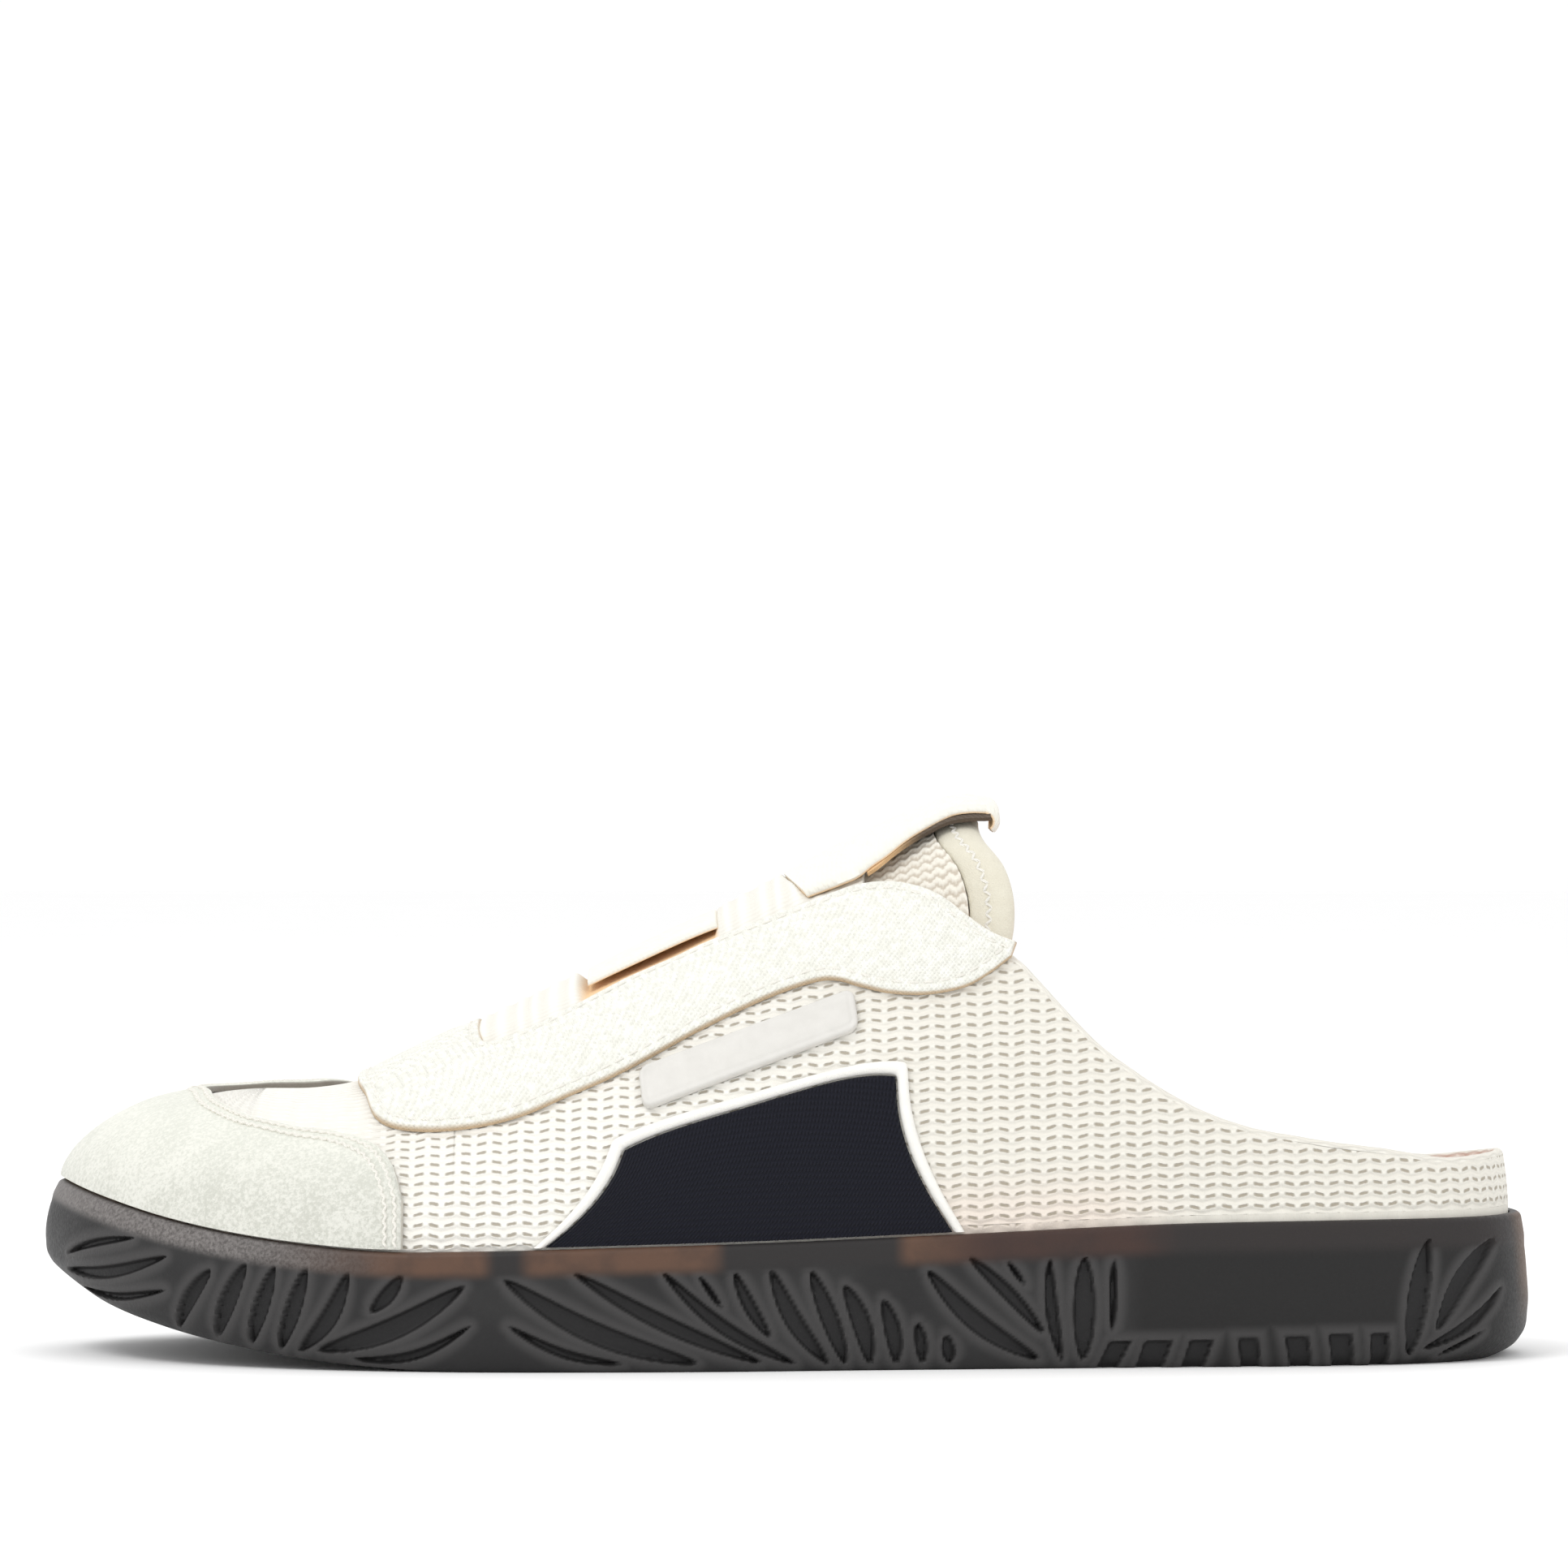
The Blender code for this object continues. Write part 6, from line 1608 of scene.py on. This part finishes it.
def pull_loop():
    columns, rows = 90, 30
    along = np.linspace(LOOP[0].along, LOOP[-1].along, columns)
    turns = strap_turns(along, loop_width(along), rows)
    side = np.linspace(-1, 1, rows)
    slant = np.linspace(1, 0, columns)[:, None] * LOOP_SLANT / SOLE_LENGTH * side[None, :]**2
    first = along[:, None] + slant
    lift = np.repeat((loop_lift(along) * LOOP_LIFT)[:, None], rows, 1)
    edge = np.sqrt(np.maximum(1 - np.clip((abs(side) - 0.93) / 0.07, 0, 1) ** 2, 0.0)) * 0.6 + 0.4
    low = off_section(first, turns, lift)
    high = off_section(first, turns, lift + LOOP_THICK * edge[None, :])
    low_end, lows, highs = low[-1], [], []
    for bend in np.linspace(0, LOOP_TURN, 22)[1:]:
        ahead = np.array([math.sin(bend), 0, math.cos(bend)])
        fold = ahead - np.array([0, 0, 1])
        lows.append(low_end + fold * LOOP_FOLD)
        highs.append(low_end + fold * LOOP_FOLD + ahead * LOOP_THICK * edge[:, None])
    low = np.concatenate([low, np.stack(lows)])
    high = np.concatenate([high, np.stack(highs)])
    points, faces = slab_mesh(low, high)
    steps = np.concatenate([np.zeros((1, rows)), np.cumsum(norm(np.diff(high, axis=0))[..., 0], 0)]) / MM
    cloth = np.stack([np.repeat(side[None, :] * LOOP[-1].width / 2 / MM, len(steps), 0), steps, np.zeros_like(steps)], -1).reshape(-1, 3)
    # The loop's underside, painted tan as shade by the webbing
    under = np.concatenate([np.ones(len(cloth)), np.zeros(len(cloth))])
    made = piece_of("loop_webbing", "pull_loop", points, outward(points, faces), WEB,
                    {"cloth": np.concatenate([cloth, cloth]), "under": under})
    loop_backing()
    return made


def loop_backing():
    """The tan layer of webbing that runs back under the pull loop; its colour is painted shadow under the loop."""
    columns, rows = 60, 26
    along = np.linspace(BACKING_FRONT, BACKING_REAR, columns)
    turns = strap_turns(along, loop_width(along) + 2 * BACKING_SHOWS, rows)
    first = np.repeat(along[:, None], rows, 1)
    lift = np.repeat((loop_lift(along) * LOOP_LIFT)[:, None], rows, 1)
    points, faces = slab_mesh(off_section(first, turns, lift - 0.9 * MM), off_section(first, turns, lift - 0.15 * MM))
    made = piece_of("loop_backing", None, points, outward(points, faces), backing_shade())


LABEL_SLANT = 0.4


def side_label():
    t, r = eased(120, 0.03), eased(22, 0.16)
    run = between(-0.5, 0.5, t) * LABEL_LENGTH
    past = np.maximum(abs(run) - (LABEL_LENGTH / 2 - LABEL_CORNER), 0.0)
    half = LABEL_HEIGHT / 2 - LABEL_CORNER + np.sqrt(np.maximum(LABEL_CORNER**2 - past**2, 0.0))
    half = np.maximum(half, LABEL_HEIGHT / 2 - 0.8 * LABEL_CORNER)
    up = half[:, None] * (2 * r - 1)[None, :]
    along0 = LABEL_ALONG
    span = float(ridge_height(along0) - rim_height(along0))
    x = x_at(along0) + run[:, None] * math.cos(LABEL_TILT) - up * math.sin(LABEL_TILT) * LABEL_SLANT
    z = float(rim_height(along0)) + span * LABEL_RISE + run[:, None] * math.sin(LABEL_TILT) + up
    along = along_at(x)
    turn = rise_angle(along, (z - rim_height(along)) / (ridge_height(along) - rim_height(along)))

    def bump(base, distance):
        frame_line = np.exp(-((distance - 1.15 * MM) / (0.22 * MM)) ** 2)
        return -0.16 * MM * frame_line

    return raised("rubber_tab", "side_label", (along, turn), off_section, GAP, LABEL_THICK, 0.45 * MM,
                  matt_rubber(), bump=bump)


saddle_front, saddle_back = curve(SADDLE, "front", "rise"), curve(SADDLE, "back", "rise")


def saddle_spot(across_share, up_share, grow):
    """Places on the saddle panel, or outside it by a width: (along, rise)."""
    top = SADDLE[-1].rise
    rise = up_share * top
    front, back = saddle_front(rise) - grow / SOLE_LENGTH, saddle_back(rise) + grow / SOLE_LENGTH
    along = between(front, back, across_share)
    span = ridge_height(along) - rim_height(along)
    sunk = SADDLE_TOP_ROUND * abs(2 * across_share - 1) ** 4
    crest = top + SADDLE_TOP_SLOPE * (across_share - 0.5) - sunk + grow / span
    return along, between(2 * GAP / span, crest, up_share)


def saddle_turn(side, along, rise):
    turn = rise_angle(along, rise)
    return turn if side == OUTER else math.pi - turn


def side_panel(word, side):
    s, r = np.meshgrid(np.linspace(0, 1, 110), np.linspace(0, 1, 70), indexing="ij")
    along, rise = saddle_spot(s, r, 0.0)
    return raised(f"saddle_knit_{word}", f"side_panel_{word}", (along, saddle_turn(side, along, rise)),
                  off_section, GAP, PANEL_THICK, 0.4 * MM, DARK, sides=(True, True, False, True))


def panel_edging(word, side):
    up = np.linspace(0, 1, 90)
    over = np.linspace(0, 1, 140)
    s = np.concatenate([np.zeros(89), over, np.ones(89)])
    r = np.concatenate([up[:-1], np.ones(140), up[:-1][::-1]])
    across_tape = np.linspace(0, 1, 13)
    along, rise = [], []
    for t in across_tape:
        a, b = saddle_spot(s, r, GAP + EDGING_WIDTH * t)
        along.append(a)
        rise.append(b)
    along, rise = np.stack(along, 1), np.stack(rise, 1)
    for _ in range(6):
        along[1:-1] = (along[:-2] + 2 * along[1:-1] + along[2:]) / 4
        rise[1:-1] = (rise[:-2] + 2 * rise[1:-1] + rise[2:]) / 4
    turn = saddle_turn(side, along, rise)
    low = off_section(along, turn, np.full(along.shape, GAP))
    arch = np.sin(math.pi * across_tape) ** 0.5
    high = off_section(along, turn, GAP + EDGING_THICK * (0.35 + 0.65 * arch)[None, :] * np.ones((len(s), 1)))
    points, faces = slab_mesh(low, high)
    made = piece_of(f"edging_tape_{word}", f"side_panel_edging_{word}", points, outward(points, faces), TAPE)
    return made


def stage():
    """A pale floor, soft studio light and the camera where the photograph was taken from."""
    mesh = bpy.data.meshes.new("floor")
    size = 6.0
    mesh.from_pydata([(-size, -size, 0), (size, -size, 0), (size, size, 0), (-size, size, 0)], [], [(0, 1, 2, 3)])
    floor = bpy.data.objects.new("floor", mesh)
    bpy.context.collection.objects.link(floor)
    pale = Surface("pale_floor", 0.9, specular=0.1)
    pale.colour(pale.mix(pale.noise(pale.place(), 0.01), (0.96, 0.96, 0.96), (0.98, 0.98, 0.98)))
    mesh.materials.append(pale.material)
    world = bpy.data.worlds.new("studio")
    world.use_nodes = True
    world.node_tree.nodes["Background"].inputs["Color"].default_value = (1.0, 1.0, 1.0, 1.0)
    world.node_tree.nodes["Background"].inputs["Strength"].default_value = 1.02
    bpy.context.scene.world = world
    bpy.context.scene.view_settings.view_transform = "Standard"
    for name, place, size, power in (
        ("key", (-0.9, -1.0, 1.9), 0.9, 14.0),
        ("fill", (1.3, -1.1, 0.9), 1.4, 2.0),
        ("back", (0.2, 1.3, 1.6), 1.4, 4.0),
    ):
        lamp = bpy.data.lights.new(name, "AREA")
        lamp.shape, lamp.size, lamp.energy = "DISK", size, power
        lit = bpy.data.objects.new(name, lamp)
        lit.location = place
        aim = np.array([0.0, 0.0, 0.04]) - np.array(place)
        lit.rotation_euler = (math.atan2(math.hypot(aim[0], aim[1]), -aim[2]), 0, math.atan2(-aim[0], aim[1]))
        bpy.context.collection.objects.link(lit)
    eye = bpy.data.cameras.new("camera")
    eye.sensor_width = 36.0
    eye.lens = 36.0 * CAMERA_AWAY / CAMERA_FRAME
    camera = bpy.data.objects.new("camera", eye)
    camera.location = (0.0, -CAMERA_AWAY, CAMERA_HEIGHT)
    camera.rotation_euler = (math.pi / 2, 0.0, 0.0)
    bpy.context.collection.objects.link(camera)
    bpy.context.scene.camera = camera


CAMERA_AWAY = 1.4
CAMERA_HEIGHT = 0.109
CAMERA_FRAME = 0.3012

GROOVE_BLUNT = 0.5

KNIT = knit_mesh()
THREAD = thread("thread", (0.95, 0.94, 0.89), (0.74, 0.71, 0.63))
CANVAS = canvas("canvas", (0.875, 0.875, 0.82), (0.775, 0.77, 0.70), (0.56, 0.42, 0.27), depth=0.3)
# The third colour is the tan of the painted shade on the webbing's underside
WEB = webbing("webbing", (0.86, 0.85, 0.79), (0.79, 0.77, 0.69), (0.84, 0.58, 0.32))
BINDING = plain_cloth("binding_cloth", (0.74, 0.71, 0.60), (0.665, 0.625, 0.51))
TAPE = plain_cloth("tape", (0.93, 0.92, 0.88), (0.84, 0.82, 0.77), scale=4.0)
DARK = dark_rib_knit()

stage()
outsole()
insole()
upper()
toe_cap()
eyestay()
gore()
instep_strap()
tongue()
tongue_binding()
pull_loop()
side_label()
for word, side in (("outer", OUTER), ("inner", INNER)):
    side_panel(word, side)
    panel_edging(word, side)
